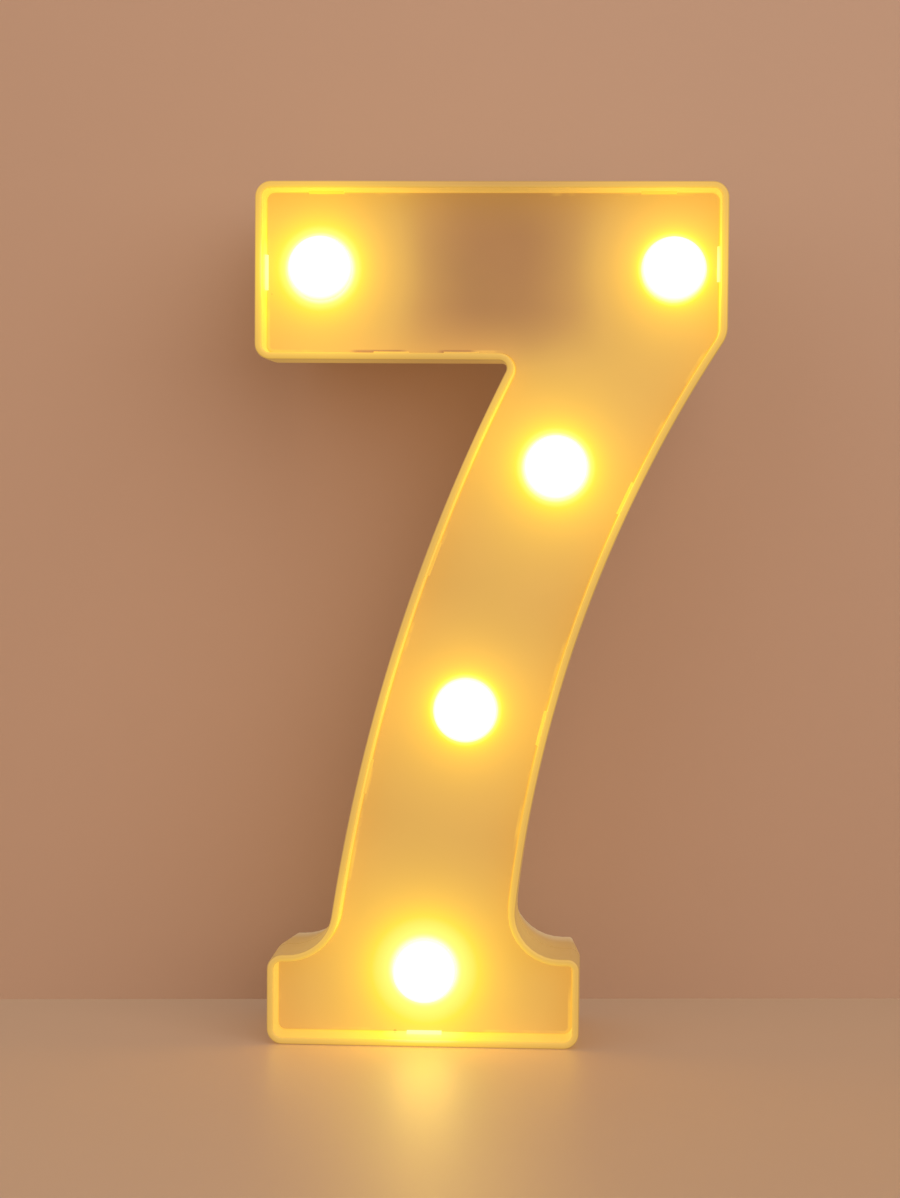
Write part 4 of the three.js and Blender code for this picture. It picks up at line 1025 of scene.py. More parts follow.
@dataclass(frozen=True)
class LitPlastic(Finish):
    """Milky plastic with the light of the bulbs in it.

    The base colour is a dark warm tan at the front, where the painted light of the bulbs carries most
    of the look, and pales to the plastic's cream towards the back. That painted light is added to it,
    so that both together give the colour of that place. A zone is where the vertex attribute of its
    name is 1, and has its own shine.
    """

    shine: Shine = Shine(0.15, 0.575, 9.5, 0.18)
    zones: tuple[tuple[str, Shine], ...] = ()
    # own is the warm tan front base under the painted glow; back is the plastic's cream, which it pales
    # to
    own: Colour = (150, 108, 66)
    back: Colour = (218, 194, 156)
    back_y: Limits = (3.0, 22.0)
    # How strong the painted shade in grooves and sunk marks is
    groove_shade: float = 0.6
    peak: float = 0.92
    unevenness: float = 0.05
    roughness: float = 0.45
    grain_scale: float = 2600.0
    relief: float = 0.25
    mottling: float = 0.9
    specks: float = 0.86
    speck_depth: float = 0.55
    back_dimming: float = 0.75
    specular: float = 0.28
    thrown: float = 2.2
    seam_attribute: str = ""
    streak_scale: float = 60.0
    streak_light: float = 0.16
    streak_limits: Limits = (0.50, 0.68)
    seam_limits: Limits = (0.15, 0.95)
    # Painted shadow at two gaps between the panel's edge and the wall of the arm's underside
    gaps: tuple[Place, ...] = ((-29.0, 6.5), (-8.8, 4.0))
    gap_z: float = 177.2
    gap_height: Limits = (2.0, 1.0)
    gap_softness: float = 1.5
    gap_shade: float = 0.22

    def paint(self, canvas: Canvas) -> None:
        """Paints the plastic, the light in it, its moulded skin, a few specks of dust and painted shade
        in its grooves.

        Args:
            canvas: the material.
        """
        glow = BulbGlow().on(
            canvas,
            Level=self.by_zone(canvas, "level"),
            Gain=self.by_zone(canvas, "gain"),
            Reach=canvas.times(self.by_zone(canvas, "reach"), MM),
            Bay_Shade=self.by_zone(canvas, "bay_shade"),
            Unevenness=self.unevenness,
            Peak=self.peak,
        ).outputs["Glow"]
        if self.seam_attribute:
            glow = self.seam_light(canvas, glow)
        skin = MouldedSkin().on(canvas, Grain_Scale=self.grain_scale, Roughness=self.roughness)
        dust = DustSpecks().on(canvas, Rarity=self.specks).outputs["Mask"]
        own = linear(self.own)
        _, depth, _ = canvas.axes(canvas.where)
        # The base colour pales from the warm front to the cream back, as the painted light of the bulbs
        # falls off
        backwards = canvas.ease(depth, *[y * MM for y in self.back_y])
        paled = canvas.mix(backwards, own, linear(self.back))
        shaded = canvas.mix(1.0, paled, (*[self.mottling] * 3, 1.0), "MULTIPLY")
        toned = canvas.mix(skin.outputs["Tone"], paled, shaded)
        # Painted shade where the groove attribute is 1; dusty carries it together with the dust specks
        sunk = canvas.times(canvas.attribute("groove"), self.groove_shade)
        dusty = canvas.maths("MAXIMUM", canvas.times(dust, self.speck_depth), sunk)
        canvas.coat(Base_Color=canvas.mix(dusty, toned, DUST_AND_GROOVE_SHADE))
        ramp = canvas.node("ValToRGB")
        self.fill_ramp(ramp.color_ramp, own)
        canvas.join(glow, ramp.inputs["Fac"])
        # The painted glow fades towards the back and is taken out under dust specks and groove shade
        dimmed = canvas.times(backwards, self.back_dimming)
        unlit = canvas.maths("MAXIMUM", dusty, dimmed)
        lit = canvas.mix(unlit, ramp.outputs["Color"], BLACK)
        seen = canvas.node("LightPath").outputs["Is Camera Ray"]
        strength = canvas.maths("MULTIPLY_ADD", seen, 1.0 - self.thrown, self.thrown)
        canvas.coat(Emission_Color=lit, Emission_Strength=strength)
        canvas.coat(Roughness=skin.outputs["Roughness"], Specular_IOR_Level=self.specular)
        canvas.bump(skin.outputs["Height"], self.relief, 0.05)

    def by_zone(self, canvas: Canvas, name: str) -> object:
        """One value of the shine, with each zone's own value inside that zone.

        Args:
            canvas: the material.
            name: the value's name in Shine.

        Returns:
            The value, as a socket or, where there are no zones, a number.
        """
        value: object = getattr(self.shine, name)
        for attribute, shine in self.zones:
            step = canvas.less(getattr(shine, name), value)
            value = canvas.maths("MULTIPLY_ADD", step, canvas.attribute(attribute), value)
        return value

    @staticmethod
    def fill_ramp(ramp: bpy.types.ColorRamp, own: Sequence[float]) -> None:
        """Sets the ramp to the light alone, which is each stop's colour less the plastic's own.

        Args:
            ramp: the ramp to fill.
            own: the plastic's own linear colour.
        """
        while len(ramp.elements) < len(GLOW_STOPS):
            ramp.elements.new(1.0)
        for element, (at, colour) in zip(ramp.elements, GLOW_STOPS):
            element.position = at
            whole = linear(colour)
            element.color = tuple(max(w - o, 0.0) for w, o in zip(whole[:3], own)) + (1.0,)

    def seam_light(self, canvas: Canvas, glow: Socket) -> Socket:
        """Adds painted light along a seam: broken bright streaks where light escapes, and painted shadow
        at two gaps between the panel's edge and the arm's underside.

        Args:
            canvas: the material.
            glow: the light before the seam is added.

        Returns:
            The light with the seam.
        """
        near = canvas.ease(canvas.attribute(self.seam_attribute), *self.seam_limits)
        uneven = canvas.noise(canvas.where, self.streak_scale, 3.0, 0.6)
        bright = canvas.times(canvas.ease(uneven, *self.streak_limits), self.streak_light)
        x, _, z = canvas.axes(canvas.where)
        dark: object = 0.0
        for middle, half in self.gaps:
            ends = ((half + self.gap_softness) * MM, (half - self.gap_softness) * MM)
            dark = canvas.maths("ADD", canvas.ease(canvas.off(x, middle * MM), *ends), dark)
        low = canvas.ease(canvas.off(z, self.gap_z * MM), *[gap * MM for gap in self.gap_height])
        dark = canvas.times(canvas.times(dark, low), self.gap_shade)
        change = canvas.times(canvas.less(bright, dark), near)
        return canvas.maths("ADD", glow, change, clamp=True)


@dataclass(frozen=True)
class FrostedCap(Finish):
    """A bulb cap that shines white with a warmer foot, and casts warm light on what is round it."""

    crown: Colour = (255, 252, 238)
    foot: Colour = (255, 236, 120)
    foot_y: float = -13.7
    crown_y: float = -19.2
    cast: Colour = (255, 212, 58)
    strength: float = 7.8
    seen_foot: float = 0.95
    seen_crown: float = 1.25
    clouding: float = 0.12
    skins: tuple[Colour, Colour] = ((250, 247, 236), (238, 233, 216))

    def paint(self, canvas: Canvas) -> None:
        """Paints the shine by the distance from the panel, over a frosted skin.

        Args:
            canvas: the material.
        """
        _, depth, _ = canvas.axes(canvas.where)
        height = canvas.ease(depth, self.foot_y * MM, self.crown_y * MM)
        skin = MouldedSkin().on(canvas, Grain_Scale=3800.0, Roughness=0.5)
        tone = skin.outputs["Tone"]
        clouded = canvas.maths("MULTIPLY_ADD", tone, -self.clouding, height, clamp=True)
        shine = canvas.mix(clouded, linear(self.foot), linear(self.crown))
        seen = canvas.node("LightPath").outputs["Is Camera Ray"]
        canvas.coat(Emission_Color=canvas.mix(seen, linear(self.cast), shine))
        step = self.seen_crown - self.seen_foot
        shown = canvas.maths("MULTIPLY_ADD", clouded, step, self.seen_foot)
        less = canvas.times(seen, canvas.less(self.strength, shown))
        canvas.coat(Emission_Strength=canvas.less(self.strength, less))
        body = canvas.mix(tone, *[linear(colour) for colour in self.skins])
        canvas.coat(Base_Color=body, Roughness=skin.outputs["Roughness"])
        canvas.bump(skin.outputs["Height"], 0.2, 0.04)


@dataclass(frozen=True)
class PlainPlastic(Finish):
    """Moulded plastic of one colour, a little worn and dusty."""

    colour: Colour = (30, 30, 32)
    worn: Colour = (60, 60, 63)
    roughness: float = 0.42
    grain_scale: float = 2200.0
    worn_limits: Limits = (0.45, 0.8)
    dust: Colour = (190, 180, 165)
    dust_share: float = 0.35

    def paint(self, canvas: Canvas) -> None:
        """Paints the colour with patches of wear and specks.

        Args:
            canvas: the material.
        """
        skin = MouldedSkin().on(canvas, Grain_Scale=self.grain_scale, Roughness=self.roughness)
        specks = DustSpecks().on(canvas, Spacing=420.0, Size=0.12, Rarity=0.8)
        rubbed = canvas.ease(skin.outputs["Tone"], *self.worn_limits)
        body = canvas.mix(rubbed, linear(self.colour), linear(self.worn))
        dusty = canvas.times(specks.outputs["Mask"], self.dust_share)
        body = canvas.mix(dusty, body, linear(self.dust))
        canvas.coat(Base_Color=body, Roughness=skin.outputs["Roughness"])
        canvas.bump(skin.outputs["Height"], 0.3, 0.04)


@dataclass(frozen=True)
class PlatedMetal(Finish):
    """Plated steel with rolling lines and dull patches."""

    colour: Colour = (205, 205, 200)
    dull: Colour = (150, 146, 138)
    roughness: float = 0.26
    lines: float = 900.0
    dull_limits: Limits = (0.35, 0.75)

    def paint(self, canvas: Canvas) -> None:
        """Paints bright metal that is dull in places.

        Args:
            canvas: the material.
        """
        metal = RolledMetal().on(canvas, Lines=self.lines, Roughness=self.roughness)
        patchy = canvas.ease(metal.outputs["Tone"], *self.dull_limits)
        body = canvas.mix(patchy, linear(self.colour), linear(self.dull))
        canvas.coat(Base_Color=body, Metallic=1.0, Roughness=metal.outputs["Roughness"])
        canvas.bump(metal.outputs["Height"], 0.25, 0.02)


@dataclass(frozen=True)
class CellSleeve(Finish):
    """The printed sleeve of a cell: a dark body, a pale band at the positive end and its sign.

    The cap and the base of the cell are bare steel.
    """

    negative_x: float = 0.0
    side: int = 1
    axis_z: float = 0.0
    length: float = 50.5
    band: float = 11.0
    body: Colour = (44, 50, 60)
    band_colour: Colour = (206, 150, 70)
    mark_colour: Colour = (232, 230, 222)
    scuff_colour: Colour = (122, 118, 110)
    steel: Colour = (196, 196, 190)
    scuff_limits: Limits = (0.62, 0.82)
    sleeve_start: Limits = (0.75, 0.85)
    sleeve_end: Limits = (1.9, 2.0)
    print_softness: float = 0.1
    mark_size: Place = (1.0, 4.0)
    plus_shift: float = -0.6
    minus_at: float = 6.0

    def paint(self, canvas: Canvas) -> None:
        """Paints the sleeve by the distance along the cell.

        Args:
            canvas: the material.
        """
        x, _, z = canvas.axes(canvas.where)
        offset = canvas.less(x, self.negative_x * MM)
        along = canvas.times(offset, self.side / MM)
        up = canvas.maths("DIVIDE", canvas.less(z, self.axis_z * MM), MM)
        band_at = self.length - self.band
        banded = canvas.ease(along, band_at - self.print_softness, band_at + self.print_softness)
        sleeve = canvas.mix(banded, linear(self.body), linear(self.band_colour))
        plus_at = band_at + self.band / 2 + self.plus_shift
        bar = self.mark_size
        upright = self.patch(canvas, along, up, plus_at, bar)
        plus = canvas.maths("MAXIMUM", self.patch(canvas, along, up, plus_at, bar[::-1]), upright)
        marks = canvas.maths("MAXIMUM", plus, self.patch(canvas, along, up, self.minus_at, bar))
        printed = canvas.mix(marks, sleeve, linear(self.mark_colour))
        skin = MouldedSkin().on(canvas, Grain_Scale=1500.0, Roughness=0.26)
        scuffs = canvas.ease(skin.outputs["Tone"], *self.scuff_limits)
        scuffed = canvas.mix(scuffs, printed, linear(self.scuff_colour))
        started = canvas.ease(along, *self.sleeve_start)
        unended = canvas.ease(along, *[self.length - short for short in self.sleeve_end])
        bare = canvas.less(1.0, canvas.times(started, unended))
        body = canvas.mix(bare, scuffed, linear(self.steel))
        canvas.coat(Base_Color=body, Metallic=bare, Roughness=skin.outputs["Roughness"])
        canvas.bump(skin.outputs["Height"], 0.12, 0.03)

    @staticmethod
    def patch(canvas: Canvas, along: Socket, up: Socket, middle: float, size: Place) -> Socket:
        """A rectangle printed on the sleeve.

        Args:
            canvas: the material.
            along: the distance along the cell in millimetres.
            up: the height above its axis in millimetres.
            middle: where along the cell the rectangle's middle lies.
            size: its length along the cell and its height.

        Returns:
            1 inside the rectangle.
        """
        off_middle = canvas.maths("ABSOLUTE", canvas.less(along, middle))
        in_length = canvas.maths("LESS_THAN", off_middle, size[0] / 2)
        in_height = canvas.maths("LESS_THAN", canvas.maths("ABSOLUTE", up), size[1] / 2)
        return canvas.times(in_length, in_height)


@dataclass(frozen=True)
class ClearResin(Finish):
    """The milky yellow resin of an LED that is on."""

    colour: Colour = (255, 226, 150)
    deep: Colour = (250, 205, 110)
    leads: Colour = (190, 190, 186)
    base_y: Limits = (-9.4, -9.8)
    strength: float = 1.5

    def paint(self, canvas: Canvas) -> None:
        """Paints glowing resin and plain steel leads behind it.

        Args:
            canvas: the material.
        """
        _, depth, _ = canvas.axes(canvas.where)
        ahead = canvas.ease(depth, *[y * MM for y in self.base_y])
        skin = MouldedSkin().on(canvas, Grain_Scale=900.0, Roughness=0.18)
        resin = canvas.mix(skin.outputs["Tone"], linear(self.colour), linear(self.deep))
        canvas.coat(Base_Color=canvas.mix(ahead, linear(self.leads), resin))
        canvas.coat(Emission_Color=canvas.mix(ahead, BLACK, resin), Emission_Strength=self.strength)
        canvas.coat(Roughness=skin.outputs["Roughness"])


@dataclass(frozen=True)
class FibreBoard(Finish):
    """Brown laminated board with its speckle of fibres."""

    colour: Colour = (116, 78, 40)
    fibre: Colour = (150, 112, 66)
    fibre_scale: float = 1400.0

    def paint(self, canvas: Canvas) -> None:
        """Paints the fibres in two browns.

        Args:
            canvas: the material.
        """
        fibres = canvas.noise(canvas.where, self.fibre_scale, 5.0, 0.7)
        skin = MouldedSkin().on(canvas, Grain_Scale=1800.0, Roughness=0.6)
        body = canvas.mix(fibres, linear(self.colour), linear(self.fibre))
        canvas.coat(Base_Color=body, Roughness=skin.outputs["Roughness"])
        canvas.bump(fibres, 0.3, 0.04)


def viewing_rays(sketch: Sketch) -> Socket:
    """1 for the rays that a viewer sees a ground by: straight, in a gloss or through something clear.

    Args:
        sketch: the tree of a material or the world.

    Returns:
        The value.
    """
    rays = sketch.node("LightPath")
    gloss = sketch.maths("MAXIMUM", rays.outputs["Is Glossy Ray"], rays.outputs["Is Transmission Ray"])
    return sketch.maths("MAXIMUM", rays.outputs["Is Camera Ray"], gloss)


@dataclass(frozen=True)
class Surroundings(Finish):
    """The floor's and the backdrop's plain pale finish.

    Seen from behind it lets the light and the view through, so that every side can be seen.
    """

    colour: Colour = (200, 168, 140)
    grain: float = 0.06
    mottle_scale: float = 9.0
    grain_scale: float = 700.0
    roughness: float = 0.44
    specular: float = 0.5
    see_through: bool = False

    def paint(self, canvas: Canvas) -> None:
        """Paints a matt wash with a very faint mottling, and opens the back where that is asked.

        Args:
            canvas: the material.
        """
        mottle = canvas.noise(canvas.where, self.mottle_scale, 4.0, 0.55)
        own = linear(self.colour)
        darker = tuple(value * (1 - self.grain) for value in own[:3]) + (1.0,)
        canvas.coat(Base_Color=canvas.mix(mottle, own, darker))
        canvas.coat(Roughness=self.roughness, Specular_IOR_Level=self.specular)
        canvas.bump(canvas.noise(canvas.where, self.grain_scale, 2.0), 0.06, 0.2)
        if self.see_through:
            facing = canvas.less(1.0, canvas.node("NewGeometry").outputs["Backfacing"])
            shown = canvas.times(viewing_rays(canvas), facing)
            canvas.blend(shown, canvas.node("BsdfTransparent"), canvas.shader, canvas.sink)


# Shaping


class Shaper:
    """A mesh in the making, in millimetres, made of bmesh operators."""

    def __init__(self) -> None:
        """Starts empty."""
        self.mesh = bmesh.new()
        self.marks: dict[str, dict[int, float]] = {}
        self.last: list[Vert] = []

    def box(self, xs: Limits, ys: Limits, zs: Limits) -> Shaper:
        """Adds a block between limits on each axis.

        Args:
            xs: its limits along X.
            ys: its limits along Y.
            zs: its limits along Z.

        Returns:
            This shaper, with the block as its last part.
        """
        sides = [limit[1] - limit[0] for limit in (xs, ys, zs)]
        middle = Vector([sum(limit) / 2 for limit in (xs, ys, zs)])
        matrix = Matrix.Translation(middle) @ Matrix.Diagonal((*sides, 1.0))
        self.last = bmesh.ops.create_cube(self.mesh, size=1.0, matrix=matrix)["verts"]
        return self

    def turned(
        self, profile: Sequence[Level], place: Place, sides: int, closed: bool = False
    ) -> Shaper:
        """Spins a profile about a line along Y.

        Args:
            profile: [radius, y] pairs. A radius of 0 at an end closes it with a pole.
            place: the (x, z) of the line.
            sides: the steps of the full turn.
            closed: whether the profile's last point joins its first.

        Returns:
            This shaper, with the turned part as its last part.
        """
        old = set(self.mesh.verts)
        chain = [self.mesh.verts.new((place[0] + r, y, place[1])) for r, y in profile]
        lines = [self.mesh.edges.new(pair) for pair in zip(chain, chain[1:])]
        if closed:
            lines.append(self.mesh.edges.new((chain[-1], chain[0])))
        bmesh.ops.spin(
            self.mesh,
            geom=chain + lines,
            cent=(place[0], 0, place[1]),
            axis=(0, 1, 0),
            angle=math.tau,
            steps=sides,
            use_merge=True,
        )
        made = [vert for vert in self.mesh.verts if vert not in old]
        bmesh.ops.remove_doubles(self.mesh, verts=made, dist=1e-4)
        self.last = [vert for vert in self.mesh.verts if vert not in old]
        self.face_outwards(self.last)
        return self

    def rod(self, radius: float, ys: Limits, place: Place, sides: int = 48) -> Shaper:
        """Adds a round rod along Y.

        Args:
            radius: its radius.
            ys: its limits along Y.
            place: the (x, z) of its axis.
            sides: the sides of the round.

        Returns:
            This shaper, with the rod as its last part.
        """
        middle = Matrix.Translation((place[0], sum(ys) / 2, place[1]))
        self.last = bmesh.ops.create_cone(
            self.mesh,
            cap_ends=True,
            segments=sides,
            radius1=radius,
            radius2=radius,
            depth=ys[1] - ys[0],
            matrix=middle @ Matrix.Rotation(math.pi / 2, 4, "X"),
        )["verts"]
        return self

    def skin(self, outline: Outline, levels: Sequence[Level], capped: bool) -> None:
        """Runs a skin through the outline at several insets and depths.

        Args:
            outline: the figure's outline.
            levels: [inset, y] pairs, or with a draft as the third value.
            capped: whether flat faces close the ends. Otherwise the section closes on itself.
        """
        old = set(self.mesh.verts)
        loops = [outline.trace(self.mesh, *level) for level in levels]
        for name, values in self.marks.items():
            layer = self.mesh.verts.layers.float[name]
            for number, value in values.items():
                for vert in {vert for line in loops[number] for vert in line.verts}:
                    vert[layer] = value
        pairs = list(zip(loops, loops[1:]))
        if not capped:
            pairs.append((loops[-1], loops[0]))
        for first, second in pairs:
            bmesh.ops.bridge_loops(self.mesh, edges=first + second)
        if capped:
            for loop in (loops[0], loops[-1]):
                bmesh.ops.contextual_create(self.mesh, geom=loop)
        self.face_outwards([vert for vert in self.mesh.verts if vert not in old])

    def mark_on_skin(self, name: str, values: dict[int, float]) -> None:
        """Asks for a vertex attribute on the next skin. It comes before any shape is added.

        Args:
            name: the attribute's name.
            values: its value by the number of the level. It is 0 elsewhere.
        """
        self.mesh.verts.layers.float.new(name)
        self.marks[name] = values

    def mark_all(self, name: str) -> None:
        """Sets a vertex attribute to 1 all over, which a cut takes along.

        Args:
            name: the attribute's name.
        """
        layer = self.mesh.verts.layers.float.new(name)
        for vert in self.mesh.verts:
            vert[layer] = 1.0

    def prism(self, corners: Sequence[Place], ys: Limits) -> Shaper:
        """Adds a prism along Y.

        Args:
            corners: its section's corners as (x, z).
            ys: its limits along Y.

        Returns:
            This shaper, with the prism as its last part.
        """
        ring = [self.mesh.verts.new((x, ys[0], z)) for x, z in corners]
        face = self.mesh.faces.new(ring)
        lifted = bmesh.ops.extrude_face_region(self.mesh, geom=[face])["geom"]
        top = [part for part in lifted if isinstance(part, Vert)]
        bmesh.ops.translate(self.mesh, verts=top, vec=(0, ys[1] - ys[0], 0))
        self.last = ring + top
        self.face_outwards(self.last)
        return self

    def lay_along_x(self, side: int, place: Point) -> None:
        """Turns the last part, which runs along Y from the origin, and moves it.

        Args:
            side: +1 where its end shall point to +X, -1 otherwise.
            place: where its start goes.
        """
        turn = Matrix.Rotation(-side * math.pi / 2, 3, "Z")
        bmesh.ops.rotate(self.mesh, verts=self.last, cent=(0, 0, 0), matrix=turn)
        bmesh.ops.translate(self.mesh, verts=self.last, vec=place)

    def soften(self, width: float, segments: int) -> None:
        """Bevels the sharp edges of everything so far.

        Args:
            width: the bevel's width.
            segments: its segments.
        """
        bevel(self.mesh, self.mesh.edges, width, segments, clamped=True)

    def face_outwards(self, verts: Iterable[Vert]) -> None:
        """Turns the faces of some vertices outwards."""
        faces = {face for vert in verts for face in vert.link_faces}
        bmesh.ops.recalc_face_normals(self.mesh, faces=list(faces))

    def object(self, name: str) -> Piece:
        """Ends the shaping and gives the mesh as an object in metres.

        Args:
            name: the object's name.

        Returns:
            The object, at the origin.
        """
        bmesh.ops.scale(self.mesh, verts=self.mesh.verts, vec=(MM, MM, MM))
        data = bpy.data.meshes.new(name)
        self.mesh.to_mesh(data)
        self.mesh.free()
        return placed(name, data)


def bevel(
    mesh: bmesh.types.BMesh, edges: Iterable[Line], width: float, segments: int, clamped: bool
) -> None:
    """Bevels those of some edges that are sharp.

    Args:
        mesh: the mesh.
        edges: the edges.
        width: the bevel's width.
        segments: its segments.
        clamped: whether a bevel stops where it would meet another.
    """
    sharp = [edge for edge in edges if edge.is_manifold and edge.calc_face_angle(0.0) > SHARP_TURN]
    bmesh.ops.bevel(
        mesh,
        geom=sharp,
        offset=width,
        offset_type="OFFSET",
        affect="EDGES",
        segments=segments,
        profile=0.5,
        material=-1,
        clamp_overlap=clamped,
    )


def cutters(shapes: Iterable[Shaper]) -> list[Piece]:
    """Makes objects of some shapes that will be joined to a piece or cut from it."""
    return [shape.object("tool") for shape in shapes]


def combine(piece: Piece, tools: Sequence[Piece], joining: Joining) -> None:
    """Joins tools to a piece or cuts them from it, and removes them.

    Args:
        piece: the object that changes.
        tools: the objects that join it or cut it.
        joining: whether they are added or cut.
    """
    for tool in tools:
        step = piece.modifiers.new("join", "BOOLEAN")
        step.operation = joining.value
        step.solver = "EXACT"
        step.object = tool
    apply_modifiers(piece)
    for tool in tools:
        data = tool.data
        bpy.data.objects.remove(tool)
        bpy.data.meshes.remove(data)


def apply_modifiers(piece: Piece) -> None:
    """Makes a piece's modifiers part of its mesh.

    Args:
        piece: the object. It is an error if nothing of it is left.
    """
    ready = piece.evaluated_get(bpy.context.evaluated_depsgraph_get())
    shaped = bpy.data.meshes.new_from_object(ready)
    piece.modifiers.clear()
    old, piece.data = piece.data, shaped
    shaped.name = piece.name
    bpy.data.meshes.remove(old)
    if not shaped.polygons:
        raise RuntimeError(f"{piece.name} came out empty")


def soften_rims(piece: Piece, plane_y: float, width: float) -> None:
    """Bevels the sharp edges of a piece that lie in one plane across Y.

    Args:
        piece: the object.
        plane_y: the plane, in millimetres.
        width: the bevel's width in millimetres.
    """
    mesh = bmesh.new()
    mesh.from_mesh(piece.data)
    level, reach = plane_y * MM, 0.01 * MM
    rims = [line for line in mesh.edges if all(abs(v.co.y - level) < reach for v in line.verts)]
    bevel(mesh, rims, width * MM, 2, clamped=False)
    mesh.to_mesh(piece.data)
    mesh.free()


def merged_copy(node: str) -> Shaper:
    """A joined-up copy of a construction node's loose triangles, in millimetres.

    Args:
        node: the node's name.

    Returns:
        The copy, with its flat faces merged.
    """
    copy = Shaper()
    copy.mesh.from_mesh(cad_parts[node].data)
    bmesh.ops.scale(copy.mesh, verts=copy.mesh.verts, vec=(1 / MM, 1 / MM, 1 / MM))
    bmesh.ops.remove_doubles(copy.mesh, verts=copy.mesh.verts, dist=1e-3)
    bmesh.ops.dissolve_limit(
        copy.mesh,
        angle_limit=math.radians(2),
        verts=copy.mesh.verts,
        edges=copy.mesh.edges,
    )
    return copy


def dressed(
    piece: Piece,
    finish: Finish,
    stands_for: Sequence[str],
    body: Body = Body.CASE,
    sharp_angle: float = 32.0,
) -> Piece:
    """Finishes a piece: its material, smooth shading, body and the nodes it stands for.

    Args:
        piece: the object.
        finish: its finish.
        stands_for: the construction nodes that it replaces.
        body: the body it rides on.
        sharp_angle: the turn in degrees above which an edge stays sharp.

    Returns:
        The same object.
    """
    piece.data.materials.clear()
    piece.data.materials.append(finish.material())
    for face in piece.data.polygons:
        face.use_smooth = True
    piece.data.set_sharp_from_angle(angle=math.radians(sharp_angle))
    even = piece.modifiers.new("even normals", "WEIGHTED_NORMAL")
    even.keep_sharp = True
    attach(piece, body.value)
    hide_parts(*stands_for)
    log.info("%s: %d faces", piece.name, len(piece.data.polygons))
    return piece


def dress_nodes(names: Iterable[str], finish: Finish) -> None:
    """Gives construction nodes their finish, with their own meshes kept.

    Args:
        names: the nodes' names.
        finish: the finish.
    """
    for name in names:
        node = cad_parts[name]
        node.data.materials.clear()
        node.data.materials.append(finish.material())
        log.info("%s: dressed", name)


# Sub-assemblies


SIDE_SHINE = Shine(0.08, 0.30, 12.0, 0.08)
WARM_CASE = LitPlastic("milky case plastic", SIDE_SHINE, roughness=0.42)
WARM_RIM = LitPlastic(
    "milky rim plastic",
    Shine(0.28, 1.08, 8.8, 0.18),
    (("inner", Shine(0.24, 0.66, 12.4, 0.17)), ("outer", SIDE_SHINE)),
    roughness=0.40,
)
WARM_PANEL = LitPlastic("milky panel plastic", peak=0.74, roughness=0.5, seam_attribute="seam")
SHINING_CAP = FrostedCap("shining frosted cap")
PALE_PLUG = PlainPlastic("pale plug plastic", (226, 220, 205), (206, 198, 180), 0.5)
DARK_KNOB = PlainPlastic("dark knob plastic", (30, 30, 32), (70, 70, 72), 0.38)
RED_JACKET = PlainPlastic("red wire jacket", (158, 32, 26), (186, 66, 54), 0.4, 3200.0)
BLACK_JACKET = PlainPlastic("black wire jacket", (26, 26, 28), (58, 58, 60), 0.4, 3200.0)
NICKEL = PlatedMetal("nickel contact")
SWITCH_STEEL = PlatedMetal("switch frame steel", (190, 190, 184), (140, 137, 130), 0.32)
SCREW_STEEL = PlatedMetal("screw steel", (176, 174, 168), (118, 114, 106), 0.3, 1600.0)
LED_RESIN = ClearResin("lit resin")
PIN_BOARD = FibreBoard("switch pin board")


def round_between(centre: Level, radius: float, start: float, end: float, steps: int) -> list[Level]:
    """Points along a round of a section.

    Args:
        centre: its centre as [inset, y].
        radius: its radius.
        start: the angle where it starts, in quarter turns.
        end: the angle where it ends, in quarter turns.
        steps: the number of steps.

    Returns:
        The points as [inset, y].
    """
    points = []
    for step in range(steps + 1):
        angle = math.pi / 2 * (start + (end - start) * step / steps)
        across, along = math.cos(angle), math.sin(angle)
        points.append((centre[0] + radius * across, centre[1] + radius * along))
    return points


